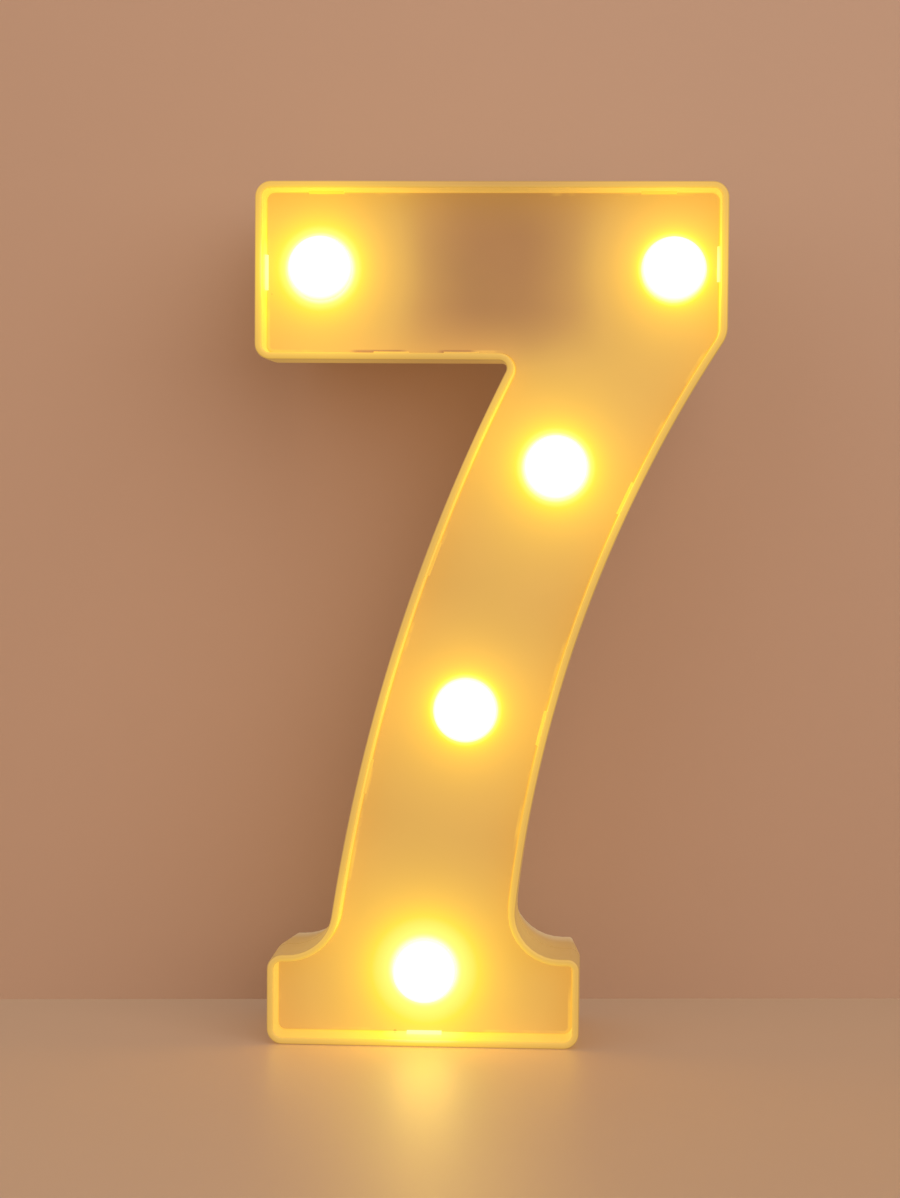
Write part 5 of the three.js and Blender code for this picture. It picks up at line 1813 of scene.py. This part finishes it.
@dataclass
class Casing:
    """The front frame with its rim, the recessed face panel and the rear shell."""

    layout: Layout = field(default_factory=Layout)
    rim_round: float = 0.8
    rim_inner_round: float = 0.4
    split_chamfer: float = 0.25
    ledge_width: float = 3.0
    ledge_thickness: float = 1.8
    lip_thickness: float = 1.3
    lip_reach: float = 3.5
    boss_radius: float = 3.2
    boss_bore: float = 1.55
    boss_end: float = -1.0
    catch_length: float = 9.0
    back_edge_round: float = 1.2
    catch_section: tuple[Place, ...] = ((-0.5, 0.0), (0.7, 0.0), (0.0, 1.6), (-0.5, 1.6))
    hole_radius: float = 5.5
    panel_chamfer: float = 0.2
    seam_flat: float = 0.5
    seam_reach: float = 1.1
    overrun: float = 1.0
    tube_radius: float = 4.2
    tube_y: Limits = (-0.7, 21.5)
    screw_bore: float = 1.55
    head_bore: float = 2.9
    head_seat: float = 1.3
    bore_y: Limits = (-1.7, 23.5)
    back_softness: float = 0.2
    keyhole_spread: float = 84.0
    keyhole_z: Limits = (205.0, 211.5)
    keyhole_radius: float = 4.0
    neck_radius: float = 2.0

    def build(self) -> None:
        """Builds and dresses the three pieces."""
        dressed(self.front_frame(), WARM_RIM, ["front_frame"])
        dressed(self.face_panel(), WARM_PANEL, ["face_panel"])
        dressed(self.rear_shell(), WARM_CASE, ["rear_shell"])

    def front_frame(self) -> Piece:
        """The rim, the front part of the side wall, the ledge, the lip, the bosses and the catches.

        Returns:
            The object.
        """
        at = self.layout
        ledge = at.face + at.panel_thickness + at.gap
        ledge_back = ledge + self.ledge_thickness
        lip_outer = at.wall + at.gap
        lip_inner = lip_outer + self.lip_thickness
        outer = round_between((self.rim_round, at.front + self.rim_round), self.rim_round, 2, 3, 5)
        inner_centre = (at.wall - self.rim_inner_round, at.front + self.rim_inner_round)
        inner = round_between(inner_centre, self.rim_inner_round, 3, 4, 3)
        levels = [
            (self.split_chamfer, at.split),
            (0.0, at.split - self.split_chamfer),
            *outer,
            *inner,
            (at.wall, ledge),
            (at.wall + self.ledge_width, ledge),
            (at.wall + self.ledge_width, ledge_back),
            (lip_inner, ledge_back),
            (lip_inner, at.split + self.lip_reach),
            (lip_outer, at.split + self.lip_reach),
            (lip_outer, at.split),
        ]
        shape = Shaper()
        turn, front_end = 2 + len(outer) // 2, 2 + len(outer)
        inside = front_end + len(inner) - 1
        # The faces at the parting line carry the groove attribute for painted shade in the groove
        shape.mark_on_skin("groove", {0: 1.0, len(levels) - 1: 1.0, len(levels) - 2: 1.0})
        shape.mark_on_skin("outer", {k: 1.0 if k < turn else 0.4 for k in range(front_end)})
        inner_levels = range(front_end, len(levels))
        shape.mark_on_skin("inner", {k: 1.0 if k >= inside else 0.5 for k in inner_levels})
        shape.skin(at.outline, levels, capped=False)
        for place in at.screws:
            sleeve = [
                (self.boss_bore, ledge + self.overrun),
                (self.boss_bore, self.boss_end),
                (self.boss_radius, self.boss_end),
                (self.boss_radius, ledge),
            ]
            shape.turned([(0, ledge + self.overrun), *sleeve, (0, ledge)], place, 32)
        for side, share in CATCHES:
            self.catch(shape, side, share)
        return shape.object("rim_frame")

    def catch(self, shape: Shaper, side: Side, share: float) -> None:
        """A wedge on the inside of the rim that keeps the panel from coming forward.

        Args:
            shape: the frame in the making.
            side: the side of the outline that it sits on.
            share: how far along that side.
        """
        at = self.layout
        place, direction = at.outline.along(side, share, at.wall)
        inward = Vector((-direction[1], 0, direction[0]))
        forward = Vector((0, -1, 0))
        along = inward.cross(forward)
        turn = Matrix((inward, along, forward)).transposed().to_4x4()
        turn.translation = (place[0], at.face - at.gap, place[1])
        shape.prism(self.catch_section, about(0, self.catch_length))
        bmesh.ops.transform(shape.mesh, matrix=turn, verts=shape.last)
        shape.face_outwards(shape.last)

    def face_panel(self) -> Piece:
        """The recessed plate with its five holes and a mask along its edge for the painted light and
        shadow of the seam.

        Returns:
            The object.
        """
        at = self.layout
        edge = at.wall + at.gap
        shape = Shaper()
        levels = [
            (edge, at.face + at.panel_thickness),
            (edge, at.face + self.panel_chamfer),
            (edge + self.panel_chamfer, at.face),
            (edge + self.seam_flat, at.face),
            (edge + self.seam_reach, at.face),
        ]
        shape.mark_on_skin("seam", {k: 1.0 for k in range(len(levels) - 1)})
        shape.skin(at.outline, levels, capped=True)
        panel = shape.object("face_plate")
        hole_y = (at.face - self.overrun, at.face + at.panel_thickness + self.overrun)
        holes = [Shaper().rod(self.hole_radius, hole_y, place) for place in at.bulbs]
        combine(panel, cutters(holes), Joining.CUT)
        return panel

    def rear_shell(self) -> Piece:
        """The rear part of the side wall, the back wall, the battery bay and the screw tubes.

        Returns:
            The object.
        """
        at = self.layout
        front = at.split + at.gap
        back_centre = (self.back_edge_round, at.back - self.back_edge_round)
        back_round = round_between(back_centre, self.back_edge_round, 2, 1, 6)
        levels = [
            (at.wall, at.back_inner, at.draft_at(at.back_inner)),
            (at.wall, at.draft_start),
            (at.wall, front),
            (self.split_chamfer, front),
            (0.0, front + self.split_chamfer),
            (0.0, at.draft_start),
            *[(inset, y, at.draft_at(y)) for inset, y in back_round],
        ]
        tray = Shaper()
        # The faces at the parting line carry the groove attribute for painted shade in the groove
        tray.mark_on_skin("groove", {2: 1.0, 3: 1.0})
        tray.skin(at.outline, levels, capped=True)
        shell = tray.object("rear_tray")
        bay, switch = BatteryBay(at), SwitchPocket(at)
        tubes = [Shaper().rod(self.tube_radius, self.tube_y, place, 40) for place in at.screws]
        combine(shell, cutters([*tubes, bay.block(), switch.block()]), Joining.ADD)
        front_y, back_y = self.bore_y
        stepped = [
            (0, front_y),
            (self.screw_bore, front_y),
            (self.screw_bore, self.head_seat),
            (self.head_bore, self.head_seat),
            (self.head_bore, back_y),
            (0, back_y),
        ]
        bores = [Shaper().turned(stepped, place, 40) for place in at.screws]
        combine(shell, cutters([*bores, *bay.cuts(), *switch.cuts(), *self.keyholes()]), Joining.CUT)
        soften_rims(shell, at.back, self.back_softness)
        return shell

    def keyholes(self) -> list[Shaper]:
        """The two hanging holes.

        Returns:
            The shapes to cut out.
        """
        made = []
        ys = (self.layout.back_inner - self.overrun, self.layout.back + self.overrun)
        entry_z, top = self.keyhole_z
        for x in about(0, self.keyhole_spread):
            made += [
                Shaper().rod(self.keyhole_radius, ys, (x, entry_z)),
                Shaper().rod(self.neck_radius, ys, (x, top), 32),
                Shaper().box(about(x, 2 * self.neck_radius), ys, self.keyhole_z),
            ]
        return made


@dataclass
class BatteryBay:
    """The walls, troughs and slots of the bay for two cells that lie along X."""

    layout: Layout
    wall: float = 2.4
    floor_y: float = 5.2
    floor: float = 1.6
    trough_radius: float = 7.55
    contact_slot: float = 1.1
    contact_reach: float = 6.2
    seat: float = 1.2
    block_back: float = 21.5
    contact_height: float = 26.8
    nub_front: float = 2.6
    nub_height: float = 3.6
    tab_spread: float = 36.0
    tab_width: float = 7.6
    tab_front: float = 15.0
    tab_z: Limits = (211.8, 216.1)
    latch_width: float = 12.6
    latch_front: float = 16.9
    latch_z: Limits = (180.1, 183.2)
    notch_radius: float = 4.0
    notch_depth: float = 1.2

    @property
    def door_x(self) -> Limits:
        """The door's limits along X."""
        return (self.layout.bay_x[0] - self.seat, self.layout.bay_x[1] + self.seat)

    @property
    def door_z(self) -> Limits:
        """The door's limits along Z."""
        return (self.layout.bay_z[0] - self.seat, self.layout.bay_z[1] + self.seat)

    def block(self) -> Shaper:
        """The block that the bay is cut into.

        Returns:
            The shape to add.
        """
        at = self.layout
        return Shaper().box(
            (at.bay_x[0] - self.wall, at.bay_x[1] + self.wall),
            (self.floor_y - self.floor, self.block_back),
            (at.bay_z[0] - self.wall, at.bay_z[1] + self.wall),
        )

    def cell_heights(self) -> list[float]:
        """The heights of the two cells' axes, the lower one first."""
        middle = self.layout.bay_middle[1]
        return list(about(middle, self.layout.cell_spacing))

    def cuts(self) -> list[Shaper]:
        """The troughs, the room above them, the door's seat, the slots and the finger notch.

        Returns:
            The shapes to cut out.
        """
        at = self.layout
        beyond = at.back + 1
        middle_x, middle_z = at.bay_middle
        made = []
        for z in self.cell_heights():
            length = about(0, at.bay_x[1] - at.bay_x[0])
            trough = Shaper().rod(self.trough_radius, length, (0, 0), 64)
            trough.lay_along_x(1, (middle_x, at.cell_y, z))
            made.append(trough)
        slot = self.contact_slot
        ends = [(at.bay_x[0], at.bay_x[0] + slot), (at.bay_x[1] - slot, at.bay_x[1])]
        contact_y = at.cell_y - self.contact_reach
        door_x, door_z = self.door_x, self.door_z
        gap = at.gap
        boxes = [
            (at.bay_x, (at.cell_y, beyond), at.bay_z),
            (
                (door_x[0] - gap, door_x[1] + gap),
                (at.back_inner - gap, beyond),
                (door_z[0] - gap, door_z[1] + gap),
            ),
            *[(end, (contact_y - gap, beyond), about(middle_z, self.contact_height)) for end in ends],
            *[
                (ends[1], (self.nub_front, contact_y), about(z, self.nub_height))
                for z in self.cell_heights()
            ],
            *[
                (about(middle_x + x, self.tab_width), (self.tab_front, at.back_inner), self.tab_z)
                for x in about(0, self.tab_spread)
            ],
            (about(middle_x, self.latch_width), (self.latch_front, beyond), self.latch_z),
        ]
        made += [Shaper().box(*limits) for limits in boxes]
        notch_y = (at.back - self.notch_depth, beyond)
        return [*made, Shaper().rod(self.notch_radius, notch_y, (middle_x, door_z[0]))]


@dataclass
class SwitchPocket:
    """The sunk pocket for the slide switch, with its I and O marks."""

    layout: Layout
    length: float = 16.0
    height: float = 8.6
    depth: float = 2.4
    floor: float = 1.8
    block_back: float = 21.5
    block_size: Place = (24.4, 11.8)
    window: Place = (8.6, 3.6)
    hole_radius: float = 1.1
    hole_spread: float = 20.0
    mark_drop: float = 7.2
    mark_spread: float = 8.0
    mark_depth: float = 0.35
    stroke: Place = (0.7, 3.0)
    ring: Limits = (0.9, 1.5)

    def block(self) -> Shaper:
        """The block that the pocket is cut into.

        Returns:
            The shape to add.
        """
        at = self.layout
        ys = (at.back - self.depth - self.floor, self.block_back)
        width, height = self.block_size
        return Shaper().box(about(at.switch_x, width), ys, about(at.switch_z, height))

    def cuts(self) -> list[Shaper]:
        """The pocket, the knob's window, the screw holes and the two marks.

        Returns:
            The shapes to cut out.
        """
        at = self.layout
        x, z, beyond = at.switch_x, at.switch_z, at.back + 1
        floor_y = at.back - self.depth - self.floor
        pocket_y = (at.back - self.depth, beyond)
        pocket = Shaper().box(about(x, self.length), pocket_y, about(z, self.height))
        window_y = (floor_y - 1, at.back - 1)
        window = Shaper().box(about(x, self.window[0]), window_y, about(z, self.window[1]))
        holes = [
            Shaper().rod(self.hole_radius, (floor_y - 1, self.block_back), (hole_x, z), 24)
            for hole_x in about(x, self.hole_spread)
        ]
        mark_y = (at.back - self.mark_depth, beyond)
        mark_z = z - self.mark_drop
        off_x, on_x = about(x, self.mark_spread)
        on_mark = Shaper().box(about(on_x, self.stroke[0]), mark_y, about(mark_z, self.stroke[1]))
        inside, outside = self.ring
        ring = [(inside, mark_y[0]), (outside, mark_y[0]), (outside, mark_y[1]), (inside, mark_y[1])]
        off_mark = Shaper().turned(ring, (off_x, mark_z), 40, closed=True)
        # The sunk I and O marks carry the groove attribute for painted shade in their hollows
        for mark in (on_mark, off_mark):
            mark.mark_all("groove")
        return [pocket, window, *holes, on_mark, off_mark]


@dataclass
class BatteryDoor:
    """The cover of the bay, with its tabs, latch, grip grooves and arrow."""

    layout: Layout = field(default_factory=Layout)
    softness: float = 0.18
    arrow_depth: float = 0.3
    arrow_rise: float = 13.5
    arrow_width: float = 5.2
    arrow_z: Limits = (-1.6, 2.0)

    def build(self) -> None:
        """Builds and dresses the door."""
        at = self.layout
        door = merged_copy("battery_door").object("bay_door")
        x, z = at.bay_middle[0], at.bay_z[0] + self.arrow_rise
        left, right = about(x, self.arrow_width)
        tip, top = z + self.arrow_z[0], z + self.arrow_z[1]
        arrow_y = (at.back - self.arrow_depth, at.back + 1)
        arrow = Shaper().prism([(left, top), (x, tip), (right, top)], arrow_y)
        combine(door, cutters([arrow]), Joining.CUT)
        soften_rims(door, at.back, self.softness)
        dressed(door, WARM_CASE, ["battery_door"], Body.DOOR)


@dataclass
class Bulbs:
    """The five frosted caps, with the plugs and LEDs inside them."""

    layout: Layout = field(default_factory=Layout)
    radius: float = 8.3
    shoulder: float = 0.2
    wall: float = 1.0
    neck: float = 5.2
    neck_end: float = -8.5
    rib: float = 0.6
    rib_width: float = 0.9
    round_steps: int = 20
    sides: int = 72

    def build(self) -> None:
        """Builds a cap for each bulb and dresses what is inside."""
        for number, place in enumerate(self.layout.bulbs, start=1):
            shape = Shaper().turned(self.profile(), place, self.sides)
            cap = shape.object(f"frosted_cap_{number}")
            dressed(cap, SHINING_CAP, [f"dome_cap_{number}"])
        numbers = range(1, len(self.layout.bulbs) + 1)
        dress_nodes([f"led_holder_{number}" for number in numbers], PALE_PLUG)
        dress_nodes([f"led_{number}" for number in numbers], LED_RESIN)

    def profile(self) -> list[Level]:
        """The section of a cap, from its crown round to its inside.

        Returns:
            [radius, y] pairs.
        """
        at = self.layout
        seat = at.face - at.gap
        centre = (0.0, seat - self.shoulder)
        floor_y = seat - self.wall
        inner = self.radius - self.wall
        floor_angle = math.asin((floor_y - centre[1]) / inner) / (math.pi / 2)
        rib_y = at.face + at.panel_thickness + at.gap
        outside = round_between(centre, self.radius, -1, 0, self.round_steps)
        inside = round_between(centre, inner, floor_angle, -1, self.round_steps)
        bore = self.neck - self.wall
        return [
            (0.0, outside[0][1]),
            *outside[1:],
            (self.radius, seat),
            (self.neck, seat),
            (self.neck, rib_y),
            (self.neck + self.rib, rib_y),
            (self.neck, rib_y + self.rib_width),
            (self.neck, self.neck_end),
            (bore, self.neck_end),
            (bore, floor_y),
            *inside[:-1],
            (0.0, inside[-1][1]),
        ]


@dataclass
class Power:
    """The two cells in their bay, the springs and the contact plates."""

    layout: Layout = field(default_factory=Layout)
    cell_radius: float = 7.25
    cell_length: float = 50.5
    nub_radius: float = 2.75
    nub_length: float = 1.2
    nub_round: float = 0.4
    nub_foot: float = 0.5
    base_step: tuple[Level, ...] = ((1.6, 0.0), (1.5, 0.25), (0.9, 0.25))
    base_round: float = 0.75
    crimp: tuple[Level, ...] = ((0.0, 1.6), (0.12, 1.35), (0.12, 1.1))
    top_round: float = 0.7
    top_edge: float = 1.3
    top_sink: float = 0.1
    spring_length: float = 5.4
    spring_wire: float = 0.7
    spring_base: float = 4.1
    spring_tip: float = 2.2
    spring_turns: float = 3.5
    lead_share: float = 0.9
    turn_steps: int = 28
    plate: float = 0.5
    plate_round: float = 0.1

    def build(self) -> None:
        """Builds the cells and springs and dresses the plates."""
        at = self.layout
        lower, upper = BatteryBay(at).cell_heights()
        left = at.bay_x[0] + at.gap + self.plate + at.gap
        right = at.bay_x[1] - at.gap - self.plate - at.gap
        start = self.spring_length + at.gap
        self.cell("upper", right - start, -1, upper)
        self.cell("lower", left + start, 1, lower)
        self.spring("bridge_spring", left, 1, lower)
        self.spring("negative_spring", right, -1, upper)
        for name in ("bridge_plate", "negative_plate", "positive_plate"):
            shape = merged_copy(name)
            shape.soften(self.plate_round, 2)
            dressed(shape.object(name + "_leaf"), NICKEL, [name])

    def cell(self, row: str, negative_x: float, side: int, z: float) -> None:
        """One cell along X.

        Args:
            row: its row in the bay, upper or lower.
            negative_x: the x of its negative end.
            side: +1 where its positive end points to +X, -1 otherwise.
            z: the height of its axis.
        """
        radius, length, nub = self.cell_radius, self.cell_length, self.nub_radius
        end = length - self.nub_length
        base, top, tip = self.base_round, self.top_round, self.nub_round
        profile = [
            (0.0, 0.0),
            *[(radius - inset, y) for inset, y in self.base_step],
            *round_between((radius - base, base), base, 3, 4, 5),
            *[(radius - inset, end - y) for inset, y in self.crimp],
            *round_between((radius - top, end - top), top, 0, 1, 5),
            (radius - self.top_edge, end - self.top_sink),
            (nub + self.nub_foot, end - self.top_sink),
            (nub, end),
            *round_between((nub - tip, length - tip), tip, 0, 1, 4),
            (0.0, length),
        ]
        shape = Shaper().turned(profile, (0.0, 0.0), 64)
        shape.lay_along_x(side, (negative_x, self.layout.cell_y, z))
        finish = CellSleeve(f"{row} cell sleeve", negative_x=negative_x, side=side, axis_z=z)
        dressed(shape.object(f"{row}_cell"), finish, [f"battery_cell_{row}"])

    def spring(self, node: str, base_x: float, side: int, z: float) -> None:
        """A conical coil spring along X, as a round wire.

        Args:
            node: the construction node that it stands for.
            base_x: where its wide end bears.
            side: +1 where it points to +X, -1 otherwise.
            z: the height of its axis.
        """
        wound = self.spring_length - 2 * self.spring_wire
        steps = round(self.spring_turns * self.turn_steps)
        path = []
        for step in range(steps + 1):
            share = step / steps
            angle = math.tau * step / self.turn_steps
            radius = self.spring_base + (self.spring_tip - self.spring_base) * share
            x = base_x + side * (self.spring_wire + wound * share)
            y, up = self.layout.cell_y + radius * math.cos(angle), z + radius * math.sin(angle)
            path.append(Vector((x, y, up)))
        lead = Vector((side * self.spring_wire * self.lead_share, 0, 0))
        path = [path[0] - lead, *path, path[-1] + lead]
        data = bpy.data.curves.new(node, "CURVE")
        data.dimensions = "3D"
        data.bevel_depth = self.spring_wire / 2 * MM
        data.bevel_resolution = 3
        data.use_fill_caps = True
        line = data.splines.new("POLY")
        line.points.add(len(path) - 1)
        for point, place in zip(line.points, path):
            point.co = (*(place * MM), 1.0)
        bare = placed(node, data)
        bpy.context.view_layer.update()
        mesh = bpy.data.meshes.new_from_object(bare.evaluated_get(bpy.context.evaluated_depsgraph_get()))
        bpy.data.objects.remove(bare)
        bpy.data.curves.remove(data)
        dressed(placed(node + "_coil", mesh), NICKEL, [node])


@dataclass
class SlideSwitch:
    """The slide switch behind the back wall."""

    softness: float = 0.22

    def build(self) -> None:
        """Builds the knob with soft edges and dresses the rest."""
        shape = merged_copy("switch_knob")
        shape.soften(self.softness, 3)
        dressed(shape.object("slide_knob"), DARK_KNOB, ["switch_knob"], Body.KNOB)
        dress_nodes(["switch_case"], SWITCH_STEEL)
        dress_nodes(["switch_base"], PIN_BOARD)
        dress_nodes(["switch_screw_1", "switch_screw_2"], SCREW_STEEL)


@dataclass
class Fasteners:
    """The self-tapping screws that hold the casing together."""

    layout: Layout = field(default_factory=Layout)
    head_radius: float = 2.6
    head_seat: float = 1.6
    head_height: float = 1.8
    shank_radius: float = 1.25
    point_y: float = -10.1
    point_length: float = 1.6
    head_round: float = 1.0
    plain_length: float = 1.2
    thread_end: float = 0.6
    thread_depth: float = 0.3
    thread_pitch: float = 0.9
    neck_step: float = 0.2
    recess: float = 1.0
    cross: Place = (2.5, 0.8)

    def build(self) -> None:
        """Builds and dresses the six screws."""
        for number, place in enumerate(self.layout.screws, start=1):
            screw = self.screw(place)
            dressed(screw, SCREW_STEEL, [f"case_screw_{number}"])
            screw.name = f"body_screw_{number}"

    def screw(self, place: Place) -> Piece:
        """One screw with a pan head and a cross recess.

        Args:
            place: its (x, z).

        Returns:
            The object.
        """
        top = self.head_seat + self.head_height
        edge_centre = (self.head_radius - self.head_round, top - self.head_round)
        edge = round_between(edge_centre, self.head_round, 0, 1, 5)
        core = self.shank_radius - self.thread_depth
        thread = []
        y = self.head_seat - self.plain_length
        while y > self.point_y + self.point_length + self.thread_end:
            thread += [(core, y), (self.shank_radius, y - self.thread_depth)]
            y -= self.thread_pitch
        profile = [
            (0.0, top),
            *reversed(edge),
            (self.head_radius, self.head_seat),
            (self.shank_radius - self.neck_step, self.head_seat),
            *thread,
            (core, self.point_y + self.point_length),
            (0.0, self.point_y),
        ]
        screw = Shaper().turned(profile, place, 32).object("screw")
        x, z = place
        recess_y = (top - self.recess, top + 1)
        long, short = self.cross
        flat = Shaper().box(about(x, long), recess_y, about(z, short))
        upright = Shaper().box(about(x, short), recess_y, about(z, long))
        combine(screw, cutters([flat, upright]), Joining.CUT)
        return screw


@dataclass
class Wiring:
    """The wires between the bulbs, the cells and the switch."""

    runs: int = 4

    def build(self) -> None:
        """Dresses the wires by their colour."""
        numbers = range(1, self.runs + 1)
        black = [f"black_wire_{number}" for number in numbers]
        red = [f"red_wire_{number}" for number in numbers]
        dress_nodes([*black, "negative_feed"], BLACK_JACKET)
        dress_nodes([*red, "positive_feed", "switched_feed"], RED_JACKET)


# Studio


@dataclass(frozen=True)
class SoftLamp:
    """A large soft lamp that looks at the figure."""

    name: str
    place: Point
    size: float
    power: float
    colour: Colour = (255, 250, 244)
    target: Point = (0.0, 0.0, 0.11)

    def build(self) -> None:
        """Adds the lamp to the scene."""
        data = bpy.data.lights.new(self.name, "AREA")
        data.shape = "SQUARE"
        data.size = self.size
        data.energy = self.power
        data.color = linear(self.colour)[:3]
        lamp = placed(self.name, data)
        lamp.location = self.place
        way = Vector(self.target) - Vector(self.place)
        lamp.rotation_euler = way.to_track_quat("-Z", "Y").to_euler()


@dataclass
class Studio:
    """The floor, the backdrop, the lamps, the world and the camera."""

    backdrop_y: float = 0.0407
    backdrop_turn: float = 5.3
    floor_size: float = 6.0
    backdrop_width: float = 6.0
    backdrop_height: float = 3.0
    world_level: float = 0.5
    light_colour: Colour = (255, 248, 240)
    ground_colour: Colour = (214, 186, 162)
    camera_place: Point = (0.026, -0.6755, 0.145)
    camera_target: Point = (-0.00961, -0.0225, 0.11467)
    camera_roll: float = 0.397
    focal_length: float = 77.68

    def build(self) -> None:
        """Builds everything round the object."""
        self.floor()
        self.backdrop()
        self.world()
        for lamp in (
            SoftLamp("key", (0.9, -1.4, 1.0), 2.0, 22.0),
            SoftLamp("fill", (-1.2, -1.2, 0.7), 1.8, 9.0),
            SoftLamp("back", (-0.7, 1.5, 0.8), 1.8, 7.0),
        ):
            lamp.build()
        self.camera()

    def plane(self, name: str, finish: Finish, turn: Matrix, size: Place) -> None:
        """Adds a flat sheet that isn't part of the object.

        Args:
            name: its name.
            finish: its finish.
            turn: where it lies and how it is turned.
            size: its width and length in metres.
        """
        mesh = bmesh.new()
        scale = Matrix.Diagonal((size[0] / 2, size[1] / 2, 1.0, 1.0))
        bmesh.ops.create_grid(mesh, x_segments=8, y_segments=8, size=1.0, matrix=turn @ scale)
        data = bpy.data.meshes.new(name)
        mesh.to_mesh(data)
        mesh.free()
        data.materials.append(finish.material())
        placed(name, data)

    def floor(self) -> None:
        """The shelf that the figure stands on."""
        finish = Surroundings("pale floor", (190, 154, 124))
        self.plane("floor", finish, Matrix.Identity(4), (self.floor_size, self.floor_size))

    def backdrop(self) -> None:
        """The wall close behind, which is clear from its own back."""
        finish = Surroundings("pale backdrop", (180, 143, 117), see_through=True)
        upright = Matrix.Rotation(math.pi / 2, 4, "X")
        turned = Matrix.Rotation(math.radians(self.backdrop_turn), 4, "Z") @ upright
        place = Matrix.Translation((0, self.backdrop_y, self.backdrop_height / 2))
        self.plane("backdrop", finish, place @ turned, (self.backdrop_width, self.backdrop_height))

    def world(self) -> None:
        """Even light from all round, which the camera sees as a pale ground."""
        world = bpy.data.worlds.new("even light")
        bpy.context.scene.world = world
        world.use_nodes = True
        world.node_tree.nodes.clear()
        sketch = Sketch(world.node_tree)
        light = sketch.node("Background")
        sketch.fill(light, {"Color": linear(self.light_colour), "Strength": self.world_level})
        ground = sketch.node("Background")
        sketch.fill(ground, {"Color": linear(self.ground_colour)})
        sink = sketch.node("OutputWorld")
        sketch.blend(viewing_rays(sketch), light, ground, sink)

    def camera(self) -> None:
        """The camera at the photograph's angle."""
        data = bpy.data.cameras.new("camera")
        data.sensor_width = 36.0
        data.sensor_fit = "AUTO"
        data.lens = self.focal_length
        data.clip_start = 0.01
        camera = placed("camera", data)
        camera.location = self.camera_place
        way = Vector(self.camera_target) - Vector(self.camera_place)
        roll = Quaternion((0, 0, 1), math.radians(self.camera_roll))
        camera.rotation_euler = (way.to_track_quat("-Z", "Y") @ roll).to_euler()
        bpy.context.scene.camera = camera


def main() -> None:
    """Builds the object and its surroundings in order."""
    logging.basicConfig(level=logging.INFO, format="%(message)s")
    bpy.context.scene.view_settings.view_transform = "Standard"
    Casing().build()
    BatteryDoor().build()
    Bulbs().build()
    Power().build()
    SlideSwitch().build()
    Fasteners().build()
    Wiring().build()
    Studio().build()


if __name__ == "__main__":
    main()
